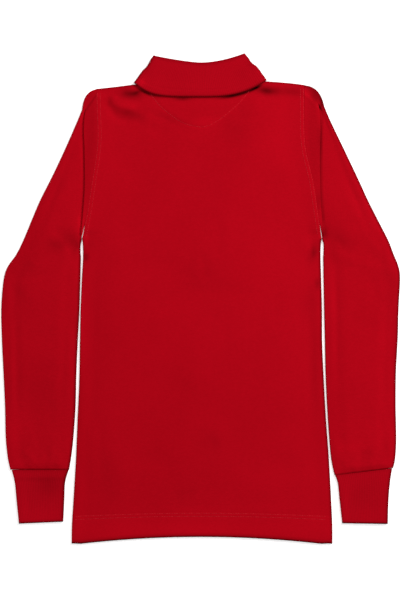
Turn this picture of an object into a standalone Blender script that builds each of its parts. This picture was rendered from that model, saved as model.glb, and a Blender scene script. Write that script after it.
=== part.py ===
"""A long-sleeved knit shirt with a fold-over collar, laid flat on its front.

Metres, +Z up. The shirt's length runs along Y with the collar at +Y, and its front lies on z = 0.
Each piece of cloth is the surface through the middle of its wall, thickened by Solidify.
"""

import math
from collections import namedtuple

import bpy
import numpy as np

# Cloth and seams
KNIT = 0.0010
RIB = 0.0014
SEAM = 0.0003
FOLDED_SEAM = 0.0008

# Heights of the middle of the cloth, from the surface that the shirt lies on
FLOOR_CLOTH = KNIT / 2
EDGE_CLOTH = 0.0031
PRESSED_CLOTH = 0.0019
BACK_SWELL = 0.0010
SLEEVE_SWELL = 0.0018
COLLAR_AXIS = 0.0037
STAND_ROLL = 0.0009
FALL_ROLL = COLLAR_AXIS - RIB / 2
BAND_OUTER = 0.0028
BAND_UNDER = 0.0041
OVER_BANDS = 0.0055
FRONT_AT_COLLAR = COLLAR_AXIS - STAND_ROLL
BACK_AT_COLLAR = COLLAR_AXIS + STAND_ROLL
EDGE_ROLL = (EDGE_CLOTH - FLOOR_CLOTH) / 2

# How far the heights take to change: beside edges, over the band and beside the collar
EDGE_FADE = 0.030
TOP_FADE = 0.025
SWELL_FADE = 0.050
BACK_COLLAR_REACH = 0.120
BACK_COLLAR_FADE = 0.030
FRONT_COLLAR_REACH = 0.112
FRONT_COLLAR_FADE = 0.022
OVER_BANDS_REACH = 0.115
OVER_BANDS_FADE = 0.055
OVER_BANDS_Y = 0.020
OVER_BANDS_RISE = 0.060

# Front of the body over the collar's points: it starts to rise here, later beside the points
POINT_Y = 0.148
POINT_SLOPE_Y = 0.100
POINT_REACH = 0.048
POINT_SIDE = 0.034
POINT_SLOPE_X = 0.040
POINT_BOW = 1.6
POINT_RISE = 0.014

# The pleat that each sleeve makes where it swings down below the armhole
PLEAT_ROLL = 0.0007
PLEAT_UNDERLAP = 0.0050
PLEAT_RAMP = 0.075
UNDERLAP_START = 0.10
UNDERLAP_END = 0.93
UNDERLAP_END_FADE = 0.30
FLAT_TURN = math.radians(30)
UNDERARM_PARTING_FROM = 0.88
UNDERARM_PARTING_FADE = 0.08
PUFF_RINGS = 6.0
UNPRESSED_RINGS = 3.0
SLEEVE_EDGE_SHARE = 0.3
INNER_TURN_RATE = 1.5

# Neck, front opening and hem
NECK_HALF = 0.0760
NECK_ROLL_CENTRE = NECK_HALF - STAND_ROLL
FRONT_NECK_DROP = 0.0680
FRONT_NECK_POWER = 2.6
BAND_WIDTH = 0.0280
BAND_BOTTOM = 0.0910
BAND_RAMP = 0.0160
BUTTON_RADIUS = 0.0055
BUTTON_THICK = 0.0020
BUTTON_RIM = 0.0004
BUTTON_SIDES = 32
BUTTON_PLACES = (("button_upper", 0.1980), ("button_lower", 0.1480))
HEM_LINE = -0.3098
HEM_DIP = 0.0088
HEM_DIP_AT = 0.1550
HEM_CORNER = 0.0017
HEM_CORNER_WIDTH = 0.0130

RED = (0.413, 0.0012, 0.0075)
RIB_RED = (0.390, 0.0012, 0.0070)

# Top edge of the cloth, over both shoulders and along the back neck seam
TopPoint = namedtuple("TopPoint", "x y")
TOP_EDGE = (
    TopPoint(-0.1360, 0.2731),
    TopPoint(-0.1210, 0.2747),
    TopPoint(-0.0900, 0.2781),
    TopPoint(-0.0760, 0.2795),
    TopPoint(-0.0400, 0.2736),
    TopPoint(0.0000, 0.2718),
    TopPoint(0.0400, 0.2754),
    TopPoint(0.0760, 0.2832),
    TopPoint(0.0900, 0.2824),
    TopPoint(0.1210, 0.2801),
    TopPoint(0.1345, 0.2783),
)

# Side edges of the body below the armholes, as distances from the middle
SidePoint = namedtuple("SidePoint", "y left right")
BODY_SIDES = (
    SidePoint(0.0783, 0.15465, 0.15745),
    SidePoint(0.0630, 0.1535, 0.1563),
    SidePoint(0.0240, 0.1550, 0.1568),
    SidePoint(-0.0150, 0.1566, 0.1578),
    SidePoint(-0.0540, 0.1574, 0.1580),
    SidePoint(-0.1060, 0.1583, 0.1602),
    SidePoint(-0.1580, 0.1606, 0.1631),
    SidePoint(-0.2100, 0.1627, 0.1669),
    SidePoint(-0.2620, 0.1658, 0.1697),
    SidePoint(-0.3000, 0.1680, 0.1713),
    SidePoint(-0.3200, 0.1682, 0.1713),
)

# One row for each turn of a sleeve: where its cloth ends outwards and inwards
ArmholePoint = namedtuple("ArmholePoint", "y seam fold")
SleeveRing = namedtuple("SleeveRing", "outer_x outer_y inner_x inner_y")
Arm = namedtuple("Arm", "sign corner armhole rings cuff")
ARMS = {
    "left": Arm(
        sign=-1,
        corner=(0.1525, 0.2702),
        armhole=(
            ArmholePoint(0.2731, 0.1360, 0.1500),
            ArmholePoint(0.2500, 0.1358, 0.1524),
            ArmholePoint(0.2063, 0.1347, 0.1517),
            ArmholePoint(0.1478, 0.1425, 0.1518),
            ArmholePoint(0.1090, 0.1485, 0.1545),
            ArmholePoint(0.0783, 0.1548, 0.1572),
        ),
        rings=(
            SleeveRing(0.1546, 0.2460, 0.1554, 0.0720),
            SleeveRing(0.1625, 0.2270, 0.1555, 0.0690),
            SleeveRing(0.1773, 0.1933, 0.1556, 0.0640),
            SleeveRing(0.1930, 0.1600, 0.1558, 0.0590),
            SleeveRing(0.2090, 0.1283, 0.1560, 0.0530),
            SleeveRing(0.2202, 0.1020, 0.1562, 0.0460),
            SleeveRing(0.2309, 0.0763, 0.1564, 0.0380),
            SleeveRing(0.2400, 0.0580, 0.1566, 0.0300),
            SleeveRing(0.2515, 0.0415, 0.1568, 0.0220),
            SleeveRing(0.2568, 0.0243, 0.1572, 0.0110),
            SleeveRing(0.2598, -0.0120, 0.1580, -0.0150),
            SleeveRing(0.2591, -0.0520, 0.1600, -0.0530),
            SleeveRing(0.2570, -0.0960, 0.1618, -0.0960),
            SleeveRing(0.2550, -0.1400, 0.1630, -0.1400),
            SleeveRing(0.2540, -0.1800, 0.1656, -0.1790),
            SleeveRing(0.2515, -0.2060, 0.1685, -0.2050),
            SleeveRing(0.2480, -0.2225, 0.1714, -0.2225),
        ),
        cuff=(
            SleeveRing(0.2462, -0.22295, 0.1720, -0.22295),
            SleeveRing(0.2422, -0.2390, 0.1766, -0.2390),
            SleeveRing(0.2400, -0.2617, 0.1776, -0.2617),
            SleeveRing(0.2368, -0.2925, 0.1790, -0.2900),
        ),
    ),
    "right": Arm(
        sign=1,
        corner=(0.1555, 0.2770),
        armhole=(
            ArmholePoint(0.2783, 0.1345, 0.1530),
            ArmholePoint(0.2500, 0.1347, 0.1556),
            ArmholePoint(0.1933, 0.1370, 0.1550),
            ArmholePoint(0.1543, 0.1461, 0.1556),
            ArmholePoint(0.1088, 0.1530, 0.1578),
            ArmholePoint(0.0783, 0.1576, 0.1600),
        ),
        rings=(
            SleeveRing(0.1607, 0.2505, 0.1588, 0.0720),
            SleeveRing(0.1690, 0.2310, 0.1590, 0.0690),
            SleeveRing(0.1871, 0.1933, 0.1590, 0.0640),
            SleeveRing(0.2056, 0.1543, 0.1591, 0.0590),
            SleeveRing(0.2175, 0.1283, 0.1592, 0.0530),
            SleeveRing(0.2306, 0.1023, 0.1593, 0.0460),
            SleeveRing(0.2439, 0.0763, 0.1594, 0.0380),
            SleeveRing(0.2510, 0.0580, 0.1595, 0.0300),
            SleeveRing(0.2570, 0.0430, 0.1597, 0.0220),
            SleeveRing(0.2594, 0.0270, 0.1599, 0.0110),
            SleeveRing(0.2575, -0.0120, 0.1604, -0.0150),
            SleeveRing(0.2564, -0.0520, 0.1613, -0.0530),
            SleeveRing(0.2541, -0.0960, 0.1622, -0.0960),
            SleeveRing(0.2537, -0.1400, 0.1642, -0.1400),
            SleeveRing(0.2545, -0.1830, 0.1671, -0.1830),
            SleeveRing(0.2530, -0.2080, 0.1698, -0.2100),
            SleeveRing(0.2504, -0.2205, 0.1740, -0.2295),
        ),
        cuff=(
            SleeveRing(0.2490, -0.22095, 0.1748, -0.22995),
            SleeveRing(0.2464, -0.2380, 0.1784, -0.2410),
            SleeveRing(0.2443, -0.2617, 0.1806, -0.2617),
            SleeveRing(0.2434, -0.2930, 0.1840, -0.2920),
        ),
    ),
}

COLLAR_END = 0.0050

# One row for each line along the collar: neck seam, crease over the top, and the fall's free edge
CollarLine = namedtuple(
    "CollarLine",
    "left_x left_y right_x right_y middle_y left_bow right_bow turn end_x end_y front_bow",
)
NECK_LINE = CollarLine(
    left_x=-NECK_ROLL_CENTRE,
    left_y=0.2799,
    right_x=NECK_ROLL_CENTRE,
    right_y=0.2836,
    middle_y=0.2721,
    left_bow=2.0,
    right_bow=2.0,
    turn=22.0,
    end_x=COLLAR_END,
    end_y=0.2140,
    front_bow=FRONT_NECK_POWER,
)
CREASE_LINE = CollarLine(
    left_x=-0.0598,
    left_y=0.3126,
    right_x=0.0530,
    right_y=0.3160,
    middle_y=0.3052,
    left_bow=1.4,
    right_bow=1.8,
    turn=26.0,
    end_x=COLLAR_END,
    end_y=0.2400,
    front_bow=2.2,
)
FALL_EDGE_LINE = CollarLine(
    left_x=-0.0842,
    left_y=0.2800,
    right_x=0.0815,
    right_y=0.2835,
    middle_y=0.2622,
    left_bow=4.0,
    right_bow=2.6,
    turn=32.0,
    end_x=0.0480,
    end_y=0.1780,
    front_bow=1.5,
)

# Steps of the surfaces: shares along an armhole from shoulder to underarm, and others
BACK_STEPS = (0, 0.02, 0.045, 0.075, 0.13, 0.22, 0.34, 0.46, 0.58, 0.70, 0.80, 0.88, 0.93, 0.965, 1)
FRONT_STEPS = (0, 0.045, 0.13, 0.34, 0.58, 0.80, 0.93, 1)
ROLL_STEPS = (0, 45, 90)
HEM_STEPS = (0, 0.03, 0.08, 0.2, 0.32, 0.44, 0.56, 0.68, 0.8, 0.9, 0.97)
PLEAT_STEPS = (0, 0.25, 0.5, 0.75, 1)
BACK_NECK_STEPS = (0, 0.28, 0.56, 0.83, 1)
FRONT_NECK_STEPS = (0.0143, 0.028, 0.045, 0.062, NECK_ROLL_CENTRE)
STAND_STEPS = (0, 0.35, 0.7, 1)
FALL_STEPS = (0, 0.33, 0.66, 1)
CREASE_TURNS = (45, 90, 135)
FOLD_TURNS = (-45, 0, 45)
OUTER_COLUMNS = (0.35, 0.7, 1)
SHOULDER_COLUMNS = (NECK_HALF, 0.090, 0.105)
CUFF_FRONT_STEPS = (1, 0.5, 0)
CUFF_BACK_STEPS = (0, 0.25, 0.5, 0.75, 1)
PLEAT_ROWS = 2 * len(PLEAT_STEPS) + 2
BAND_ROWS = 5
SAME_PLACE = 1e-6


def mix(low, high, share):
    return low + (high - low) * share


def ease(share):
    held = np.clip(share, 0.0, 1.0)
    return held * held * (3.0 - 2.0 * held)


def smooth_at(places, values, at):
    """A smooth curve through (place, value) rows, read at one place or at an array of them."""
    order = np.argsort(places)
    xs = np.asarray(places, float)[order]
    ys = np.asarray(values, float)[order]
    slopes = np.gradient(ys, xs)
    at = np.clip(at, xs[0], xs[-1])
    left = np.clip(np.searchsorted(xs, at) - 1, 0, len(xs) - 2)
    width = xs[left + 1] - xs[left]
    t = (at - xs[left]) / width
    from_ends = (2 * t**3 - 3 * t**2 + 1) * ys[left] + (3 * t**2 - 2 * t**3) * ys[left + 1]
    from_slopes = (t**3 - 2 * t**2 + t) * slopes[left] + (t**3 - t**2) * slopes[left + 1]
    return from_ends + width * from_slopes


def top_edge(x):
    return smooth_at([p.x for p in TOP_EDGE], [p.y for p in TOP_EDGE], x)


def hem_edge(x):
    corner = HEM_CORNER * ease((np.abs(x) - HEM_DIP_AT) / HEM_CORNER_WIDTH)
    return HEM_LINE - HEM_DIP * (np.abs(x) / HEM_DIP_AT) ** 2 + corner


def front_neck(x):
    """The scooped front neck seam, between the two neck points."""
    tilt = (top_edge(NECK_HALF) - top_edge(-NECK_HALF)) / (2 * NECK_HALF)
    line = (top_edge(NECK_HALF) + top_edge(-NECK_HALF)) / 2 + tilt * x
    share = np.clip(np.abs(x) / NECK_ROLL_CENTRE, 0.0, 1.0)
    return line - FRONT_NECK_DROP * (1.0 - share**FRONT_NECK_POWER)


def body_side(arm, y):
    distances = [p.left if arm.sign < 0 else p.right for p in BODY_SIDES]
    return smooth_at([p.y for p in BODY_SIDES], distances, y) - KNIT / 2


def seam_parting(share):
    """Half the room between body and sleeve along the armhole: a seam, and a wall more at the underarm."""
    apart = ease((share - UNDERARM_PARTING_FROM) / UNDERARM_PARTING_FADE)
    return SEAM / 2 + KNIT / 2 * apart


def shoulder_y(arm):
    """Middle of the cloth at the top end of the armhole seam, where it turns over to the front."""
    return arm.armhole[0].y - KNIT / 2


def armhole_y(arm, share):
    return mix(shoulder_y(arm) - EDGE_ROLL, arm.armhole[-1].y + EDGE_ROLL, share)


def armhole_x(arm, y, column="seam"):
    return smooth_at([p.y for p in arm.armhole], [getattr(p, column) for p in arm.armhole], y)


def pleat_turn(share):
    """Angle by which the pleat's folds turn: none at shoulder and underarm, a full fold between."""
    return math.pi * float(ease(min(share, 1.0 - share) / PLEAT_RAMP))


def pleat_underlap(share):
    starts = ease((share - PLEAT_RAMP) / UNDERLAP_START)
    return PLEAT_UNDERLAP * float(starts * ease((UNDERLAP_END - share) / UNDERLAP_END_FADE))


def pleat_height(share):
    turn = pleat_turn(share)
    return 2 * PLEAT_ROLL * (1 - math.cos(turn)) + pleat_underlap(share) * math.sin(turn)


def under_pleat(share):
    """Height of the sleeve where it comes out from below the pleat."""
    pressed = ease(min(share, 1.0 - share) / PLEAT_RAMP)
    return mix(EDGE_CLOTH, PRESSED_CLOTH, float(pressed))


def armhole_height(share):
    return under_pleat(share) + pleat_height(share)


def front_height(x, y):
    """Middle of the front panel: on the floor, and lifted over the collar's points and the buttons."""
    reach = np.abs(x)
    band_side = ease((BAND_WIDTH / 2 + BAND_RAMP - reach) / BAND_RAMP)
    band = band_side * ease((y - BAND_BOTTOM + BAND_RAMP) / BAND_RAMP)
    beside = np.clip(reach - POINT_REACH, 0.0, POINT_SIDE) / POINT_SLOPE_X
    rise_from = POINT_Y + POINT_SLOPE_Y * beside**POINT_BOW
    collar_side = ease((FRONT_COLLAR_REACH - reach) / FRONT_COLLAR_FADE)
    collar = ease((y - rise_from) / POINT_RISE) * collar_side
    return FLOOR_CLOTH + (FRONT_AT_COLLAR - FLOOR_CLOTH) * np.maximum(band, collar)


def back_at_top(x):
    """Height of the back's cloth at its top edge: over the collar's stand, and lower at the shoulders."""
    return mix(EDGE_CLOTH, BACK_AT_COLLAR, ease((BACK_COLLAR_REACH - np.abs(x)) / BACK_COLLAR_FADE))


def back_height(x, y, side_distance, side_height):
    """Middle of the back panel, from its place, its distance to the side and the height there."""
    swell = ease(side_distance / SWELL_FADE) * ease((y - hem_edge(x)) / SWELL_FADE)
    height = EDGE_CLOTH + BACK_SWELL * swell
    band_side = ease((OVER_BANDS_REACH - np.abs(x)) / OVER_BANDS_FADE)
    height = mix(height, OVER_BANDS, band_side * ease((y - OVER_BANDS_Y) / OVER_BANDS_RISE))
    height = mix(back_at_top(x), height, ease((top_edge(x) - y) / TOP_FADE))
    return mix(side_height, height, ease(side_distance / EDGE_FADE))


# The edge of the body's cloth on one row: distance from the middle, y, fall over the side's roll, height
SideEdge = namedtuple("SideEdge", "x y fall height")


def low_side(arm, share):
    """The side edge between hem and underarm."""
    y = mix(float(hem_edge(HEM_DIP_AT)), arm.armhole[-1].y, share)
    return SideEdge(body_side(arm, y), y, EDGE_ROLL - FOLDED_SEAM / 2, EDGE_CLOTH)


def underarm_side(arm, angle):
    """The side edge where the armhole seam starts, turning up from the side's roll."""
    turn = math.radians(angle)
    y = arm.armhole[-1].y + EDGE_ROLL * (1 - math.sin(turn))
    fall = max(EDGE_ROLL * (1 - math.cos(turn)) - FOLDED_SEAM / 2, 0.0)
    return SideEdge(armhole_x(arm, y) - seam_parting(1), y, fall, EDGE_CLOTH)


def armhole_side(arm, share):
    y = armhole_y(arm, share)
    return SideEdge(armhole_x(arm, y) - seam_parting(share), y, 0.0, armhole_height(share))


def row_places(sides, inner_columns):
    """(x, distance to the side, angle on the side's roll, side) of each column, from left to right."""
    halves = []
    for name in ("left", "right"):
        side = sides[name]
        flat = side.x - EDGE_ROLL
        half = [(x, 0) for x in inner_columns]
        half += [(mix(inner_columns[-1], flat, share), 0) for share in OUTER_COLUMNS]
        half += [(flat + EDGE_ROLL * math.sin(math.radians(a)), a) for a in ROLL_STEPS[1:]]
        halves.append([(ARMS[name].sign * x, side.x - x, angle, side) for x, angle in half])
    return halves[0][::-1] + halves[1]


# The top edge of one panel: where its cloth ends, the size of its roll there and the fall to the seam
TopFold = namedtuple("TopFold", "end roll fall")


def top_fold(x, front):
    reach = abs(x)
    roll = float(back_at_top(x) - front_height(x, top_edge(x))) / 2
    if reach > NECK_HALF - SAME_PLACE:
        return TopFold(float(top_edge(x)) - KNIT / 2, roll, roll - FOLDED_SEAM / 2)
    if reach > NECK_ROLL_CENTRE - SAME_PLACE:
        return TopFold(float(top_edge(x)) - KNIT / 2, roll, 0.0)
    return TopFold(float(front_neck(x)) if front else float(top_edge(x)), roll, 0.0)


def panel_point(front, x, y, side_distance, side, fall):
    if front:
        return (x, y, float(front_height(x, y)) + fall)
    return (x, y, float(back_height(x, y, side_distance, side.height)) - fall)


def panel_row(sides, front, inner_columns, hem_share, top_share):
    """One row across a panel: hem_share is 1 at the hem's edge, top_share is 1 at the shoulder's roll."""
    places = row_places(sides, inner_columns)
    row = []
    for x, side_distance, angle, side in places:
        across = (x - places[0][0]) / (places[-1][0] - places[0][0])
        y = mix(sides["left"].y, sides["right"].y, across)
        y += float(hem_edge(x) - hem_edge(HEM_DIP_AT)) * hem_share
        fold = top_fold(x, front)
        top = mix(*(shoulder_y(ARMS[name]) - EDGE_ROLL for name in ("left", "right")), across)
        y += (fold.end - fold.roll - top) * top_share
        fall = side.fall * (1 - math.cos(math.radians(angle)))
        row.append(panel_point(front, x, y, side_distance, side, fall))
    return row


def shoulder_row(sides, front, inner_columns, angle):
    """One row over the shoulders' roll, which is flat along the neck seam."""
    turn = math.radians(angle)
    row = []
    for x, side_distance, _, side in row_places(sides, inner_columns):
        fold = top_fold(x, front)
        fall = fold.fall * (1 - math.cos(turn))
        _, _, z = panel_point(front, x, fold.end - fold.roll, side_distance, side, fall)
        row.append((x, fold.end - fold.roll * (1 - math.sin(turn)), z))
    return row


def body_panel(front, inner_columns, steps):
    """Rows of (x, y, z) for the front or the back, from the hem up over the shoulders."""
    grid = []
    for share in HEM_STEPS:
        sides = {name: low_side(arm, share) for name, arm in ARMS.items()}
        grid.append(panel_row(sides, front, inner_columns, 1 - share, 0))
    for angle in reversed(ROLL_STEPS[1:]):
        sides = {name: underarm_side(arm, angle) for name, arm in ARMS.items()}
        grid.append(panel_row(sides, front, inner_columns, 0, 0))
    for share in reversed(steps):
        sides = {name: armhole_side(arm, share) for name, arm in ARMS.items()}
        grid.append(panel_row(sides, front, inner_columns, 0, 1 - share))
    for angle in ROLL_STEPS[1:]:
        grid.append(shoulder_row(sides, front, inner_columns, angle))
    return np.array(grid)


def pleat_path(turn, underlap):
    """(outward, down) of the pleat's two folds and the cloth between them, from its first bend."""
    path = []
    for t in PLEAT_STEPS:
        path.append((PLEAT_ROLL * math.sin(turn * t), PLEAT_ROLL * (1 - math.cos(turn * t))))
    out = path[-1][0] + underlap * math.cos(turn) + PLEAT_ROLL * math.sin(turn)
    down = path[-1][1] + underlap * math.sin(turn) - PLEAT_ROLL * math.cos(turn)
    for t in reversed(PLEAT_STEPS):
        path.append((out - PLEAT_ROLL * math.sin(turn * t), down + PLEAT_ROLL * math.cos(turn * t)))
    return path


def bent_line(start, corner, end, share):
    """A point on the curve from start to end that bends round the corner."""
    first = mix(np.array(start), np.array(corner), share)
    second = mix(np.array(corner), np.array(end), share)
    return mix(first, second, share)


def unit(vector):
    return vector / np.linalg.norm(vector)


def sleeve_ends(arm):
    """For each turn of the sleeve: its outer end, the way out there, its inner end and the way in."""
    first = arm.rings[0]
    shoulder = (armhole_x(arm, shoulder_y(arm)), shoulder_y(arm))
    underarm = (arm.armhole[-1].seam + seam_parting(1), arm.armhole[-1].y)
    outer, inner, inward = [], [], []
    for k in range(PLEAT_ROWS):
        share = k / PLEAT_ROWS
        outer.append(bent_line(shoulder, arm.corner, (first.outer_x, first.outer_y), share))
        inner.append(mix(np.array(underarm), np.array((first.inner_x, first.inner_y)), share))
        inward.append(math.pi / 2 * min(1.0, INNER_TURN_RATE * share))
    for ring in arm.rings:
        outer.append(np.array((ring.outer_x, ring.outer_y)))
        inner.append(np.array((ring.inner_x + KNIT / 2, ring.inner_y)))
        inward.append(math.pi / 2)
    outer = np.array(outer)
    inner_way = np.array([(-math.sin(a), -math.cos(a)) for a in inward])
    outer_way = np.array([unit(np.array((-y, x))) for x, y in np.gradient(outer, axis=0)])
    outer_way[0] = (0.0, 1.0)
    outer[1:] -= outer_way[1:] * KNIT / 2
    return outer, outer_way, np.array(inner), inner_way


def roll_points(end, way, up):
    """Points round a folded edge, between the lower and the upper cloth."""
    centre = end - way * EDGE_ROLL
    points = []
    for angle in FOLD_TURNS:
        turn = math.radians(angle)
        x, y = centre + way * EDGE_ROLL * math.cos(turn)
        points.append((x, y, FLOOR_CLOTH + EDGE_ROLL * (1 + up * math.sin(turn))))
    return points


def seam_point(arm, share):
    y = armhole_y(arm, share)
    return np.array((armhole_x(arm, y) + seam_parting(share), y))


def pleat_point(arm, k, share, start, end):
    """A point of the sleeve's back, k rows on from the armhole seam at start towards the ring at end."""
    way = unit(end - start)
    fold = armhole_x(arm, start[1], "fold") - start[0]
    bend_at = (fold - KNIT / 2 - PLEAT_ROLL) / way[0]
    turn = pleat_turn(share)
    if k < 2:
        out, down = bend_at * k / 2, 0.0
    else:
        out, down = pleat_path(turn, pleat_underlap(share))[k - 2]
        out += bend_at
    plain = np.linalg.norm(end - start) * k / PLEAT_ROWS
    x, y = start + way * mix(plain, out, float(ease(turn / FLAT_TURN)))
    return (x, y, armhole_height(share) - down)


def free_height(share, k):
    """Height of the sleeve's back k rings on from the pleat: pressed there, and puffed further on."""
    puff = SLEEVE_SWELL * float(ease(k / PUFF_RINGS) * ease(min(share, 1 - share) / SLEEVE_EDGE_SHARE))
    return mix(under_pleat(share), EDGE_CLOTH + puff, float(ease(k / UNPRESSED_RINGS)))


def sleeve(arm):
    """Rows of (x, y, z) round the sleeve, from the armhole seam to the cuff seam."""
    outer, outer_way, inner, inner_way = sleeve_ends(arm)
    outer_flat = outer - outer_way * EDGE_ROLL
    inner_flat = inner - inner_way * EDGE_ROLL
    grid = []
    for k in range(len(outer)):
        pleated = k < PLEAT_ROWS
        row = []
        for share in reversed(FRONT_STEPS):
            place = mix(outer_flat[k], inner_flat[k], share)
            if pleated and 0 < share < 1:
                ring = mix(outer_flat[PLEAT_ROWS], inner_flat[PLEAT_ROWS], share)
                place = mix(seam_point(arm, share), ring, k / PLEAT_ROWS)
            row.append((*place, FLOOR_CLOTH))
        row += roll_points(outer[k], outer_way[k], 1)
        for share in BACK_STEPS:
            if pleated and 0 < share < 1:
                ring = mix(outer_flat[PLEAT_ROWS], inner_flat[PLEAT_ROWS], share)
                row.append(pleat_point(arm, k, share, seam_point(arm, share), ring))
            else:
                place = mix(outer_flat[k], inner_flat[k], share)
                row.append((*place, free_height(share, max(0, k - PLEAT_ROWS))))
        row += roll_points(inner[k], inner_way[k], -1)
        grid.append([(arm.sign * x, y, z) for x, y, z in row])
    return np.array(grid)


def cuff(arm):
    """Rows of (x, y, z) round the cuff, from the sleeve to its open end."""
    low = RIB / 2
    lift = low - FLOOR_CLOTH
    grid = []
    for ring in arm.cuff:
        outer = np.array((ring.outer_x, ring.outer_y))
        inner = np.array((ring.inner_x, ring.inner_y))
        way = unit(outer - inner)
        outer = outer - way * RIB / 2
        inner = inner + way * RIB / 2
        outer_flat = outer - way * EDGE_ROLL
        inner_flat = inner + way * EDGE_ROLL
        row = [(*mix(outer_flat, inner_flat, share), low) for share in CUFF_FRONT_STEPS]
        row += [(x, y, z + lift) for x, y, z in roll_points(outer, way, 1)]
        high = low + 2 * EDGE_ROLL
        row += [(*mix(outer_flat, inner_flat, share), high) for share in CUFF_BACK_STEPS]
        row += [(x, y, z + lift) for x, y, z in roll_points(inner, -way, -1)]
        grid.append([(arm.sign * x, y, z) for x, y, z in row])
    return np.array(grid)


def neck_seam(x, front):
    """The collar's side of the neck seam, one seam away from the panel's edge."""
    edge = front_neck if front else top_edge
    slope = float(edge(x + KNIT) - edge(x - KNIT)) / (2 * KNIT)
    return float(edge(x)) + SEAM * math.hypot(1.0, slope)


def collar_line(line):
    """Plan points of one line along the collar, with the angle that the cloth has turned to there."""
    points = []
    reach = NECK_ROLL_CENTRE - COLLAR_END
    shares = [0.0] + [(x - COLLAR_END) / reach for x in FRONT_NECK_STEPS]
    for sign in (-1, 1):
        side_x = line.left_x if sign < 0 else line.right_x
        side_y = line.left_y if sign < 0 else line.right_y
        bow = line.left_bow if sign < 0 else line.right_bow
        way = np.array((sign * math.cos(math.radians(line.turn)), math.sin(math.radians(line.turn))))
        half = []
        for share in shares:
            x = sign * mix(line.end_x, abs(side_x), share)
            y = mix(line.end_y, side_y, share**line.front_bow)
            y = neck_seam(x, True) if line is NECK_LINE else y
            half.append(((x, y), (0.0, 0.0), -90))
        for angle in FOLD_TURNS:
            half.append(((side_x, side_y), tuple(way), angle))
        for share in reversed(BACK_NECK_STEPS):
            x = side_x * share
            y = mix(line.middle_y, side_y, share**bow)
            y = neck_seam(x, False) if line is NECK_LINE else y
            half.append(((x, y), (0.0, 0.0), 90))
        points.append(half)
    return points[0] + points[1][::-1][1:]


def collar():
    """Rows of (x, y, z): up the stand from the neck seam, over the crease and down the fall."""
    neck, crease, edge = (collar_line(line) for line in (NECK_LINE, CREASE_LINE, FALL_EDGE_LINE))
    crease_roll = (FALL_ROLL - STAND_ROLL) / 2
    rows = [(neck, crease, share, STAND_ROLL, 0.0) for share in STAND_STEPS]
    for angle in CREASE_TURNS:
        turn = math.radians(angle)
        roll = STAND_ROLL + crease_roll * (1 - math.cos(turn))
        rows.append((crease, crease, 0.0, roll, crease_roll * math.sin(turn)))
    rows += [(crease, edge, share, FALL_ROLL, 0.0) for share in FALL_STEPS]
    grid = []
    for start, end, share, roll, lift in rows:
        row = []
        for (start_place, start_way, angle), (end_place, end_way, _) in zip(start, end):
            place = mix(np.array(start_place), np.array(end_place), share)
            way = mix(np.array(start_way), np.array(end_way), share)
            turn = math.radians(angle)
            x, y = place + way * roll * math.cos(turn)
            row.append((x, y + lift, COLLAR_AXIS + roll * math.sin(turn)))
        grid.append(row)
    return np.array(grid)


def material(name, colour, roughness):
    made = bpy.data.materials.new(name)
    made.use_nodes = True
    shader = made.node_tree.nodes["Principled BSDF"]
    shader.inputs["Base Color"].default_value = (*colour, 1.0)
    shader.inputs["Roughness"].default_value = roughness
    shader.inputs["Metallic"].default_value = 0.0
    return made


def cloth(name, grid, wall, look, collection, tube=False, left_out=()):
    """A piece of cloth through a grid of points, thickened evenly to both sides."""
    rows, columns = grid.shape[:2]
    faces = []
    for r in range(rows - 1):
        for c in range(columns if tube else columns - 1):
            if (r, c) in left_out:
                continue
            across = (c + 1) % columns
            faces.append(
                (r * columns + c, r * columns + across, (r + 1) * columns + across, (r + 1) * columns + c)
            )
    mesh = bpy.data.meshes.new(name)
    mesh.from_pydata(grid.reshape(-1, 3).tolist(), [], faces)
    mesh.update()
    mesh.materials.append(look)
    mesh.shade_smooth()
    piece = bpy.data.objects.new(name, mesh)
    collection.objects.link(piece)
    wall_modifier = piece.modifiers.new("wall", "SOLIDIFY")
    wall_modifier.thickness = wall
    wall_modifier.offset = 0.0
    wall_modifier.use_quality_normals = True
    return piece


def flat_band(name, height, look, collection):
    """One band of the front opening, between the edges of its slot and up to the neck seam."""
    half = BAND_WIDTH / 2
    top = float(front_neck(0.0)) - SEAM
    rows = np.linspace(BAND_BOTTOM + SEAM, top, BAND_ROWS)
    grid = np.array([[(x, y, height) for x in (-half, 0.0, half)] for y in rows])
    return cloth(name, grid, KNIT, look, collection)


def button(name, y, look, collection):
    bpy.ops.mesh.primitive_cylinder_add(
        vertices=BUTTON_SIDES,
        radius=BUTTON_RADIUS,
        depth=BUTTON_THICK,
        location=(0.0, y, BUTTON_THICK / 2),
    )
    piece = bpy.context.object
    piece.name = name
    piece.data.materials.append(look)
    rim = piece.modifiers.new("rim", "BEVEL")
    rim.width = BUTTON_RIM
    rim.segments = 2
    rim.limit_method = "ANGLE"
    for owner in piece.users_collection:
        owner.objects.unlink(piece)
    collection.objects.link(piece)
    return piece


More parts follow.
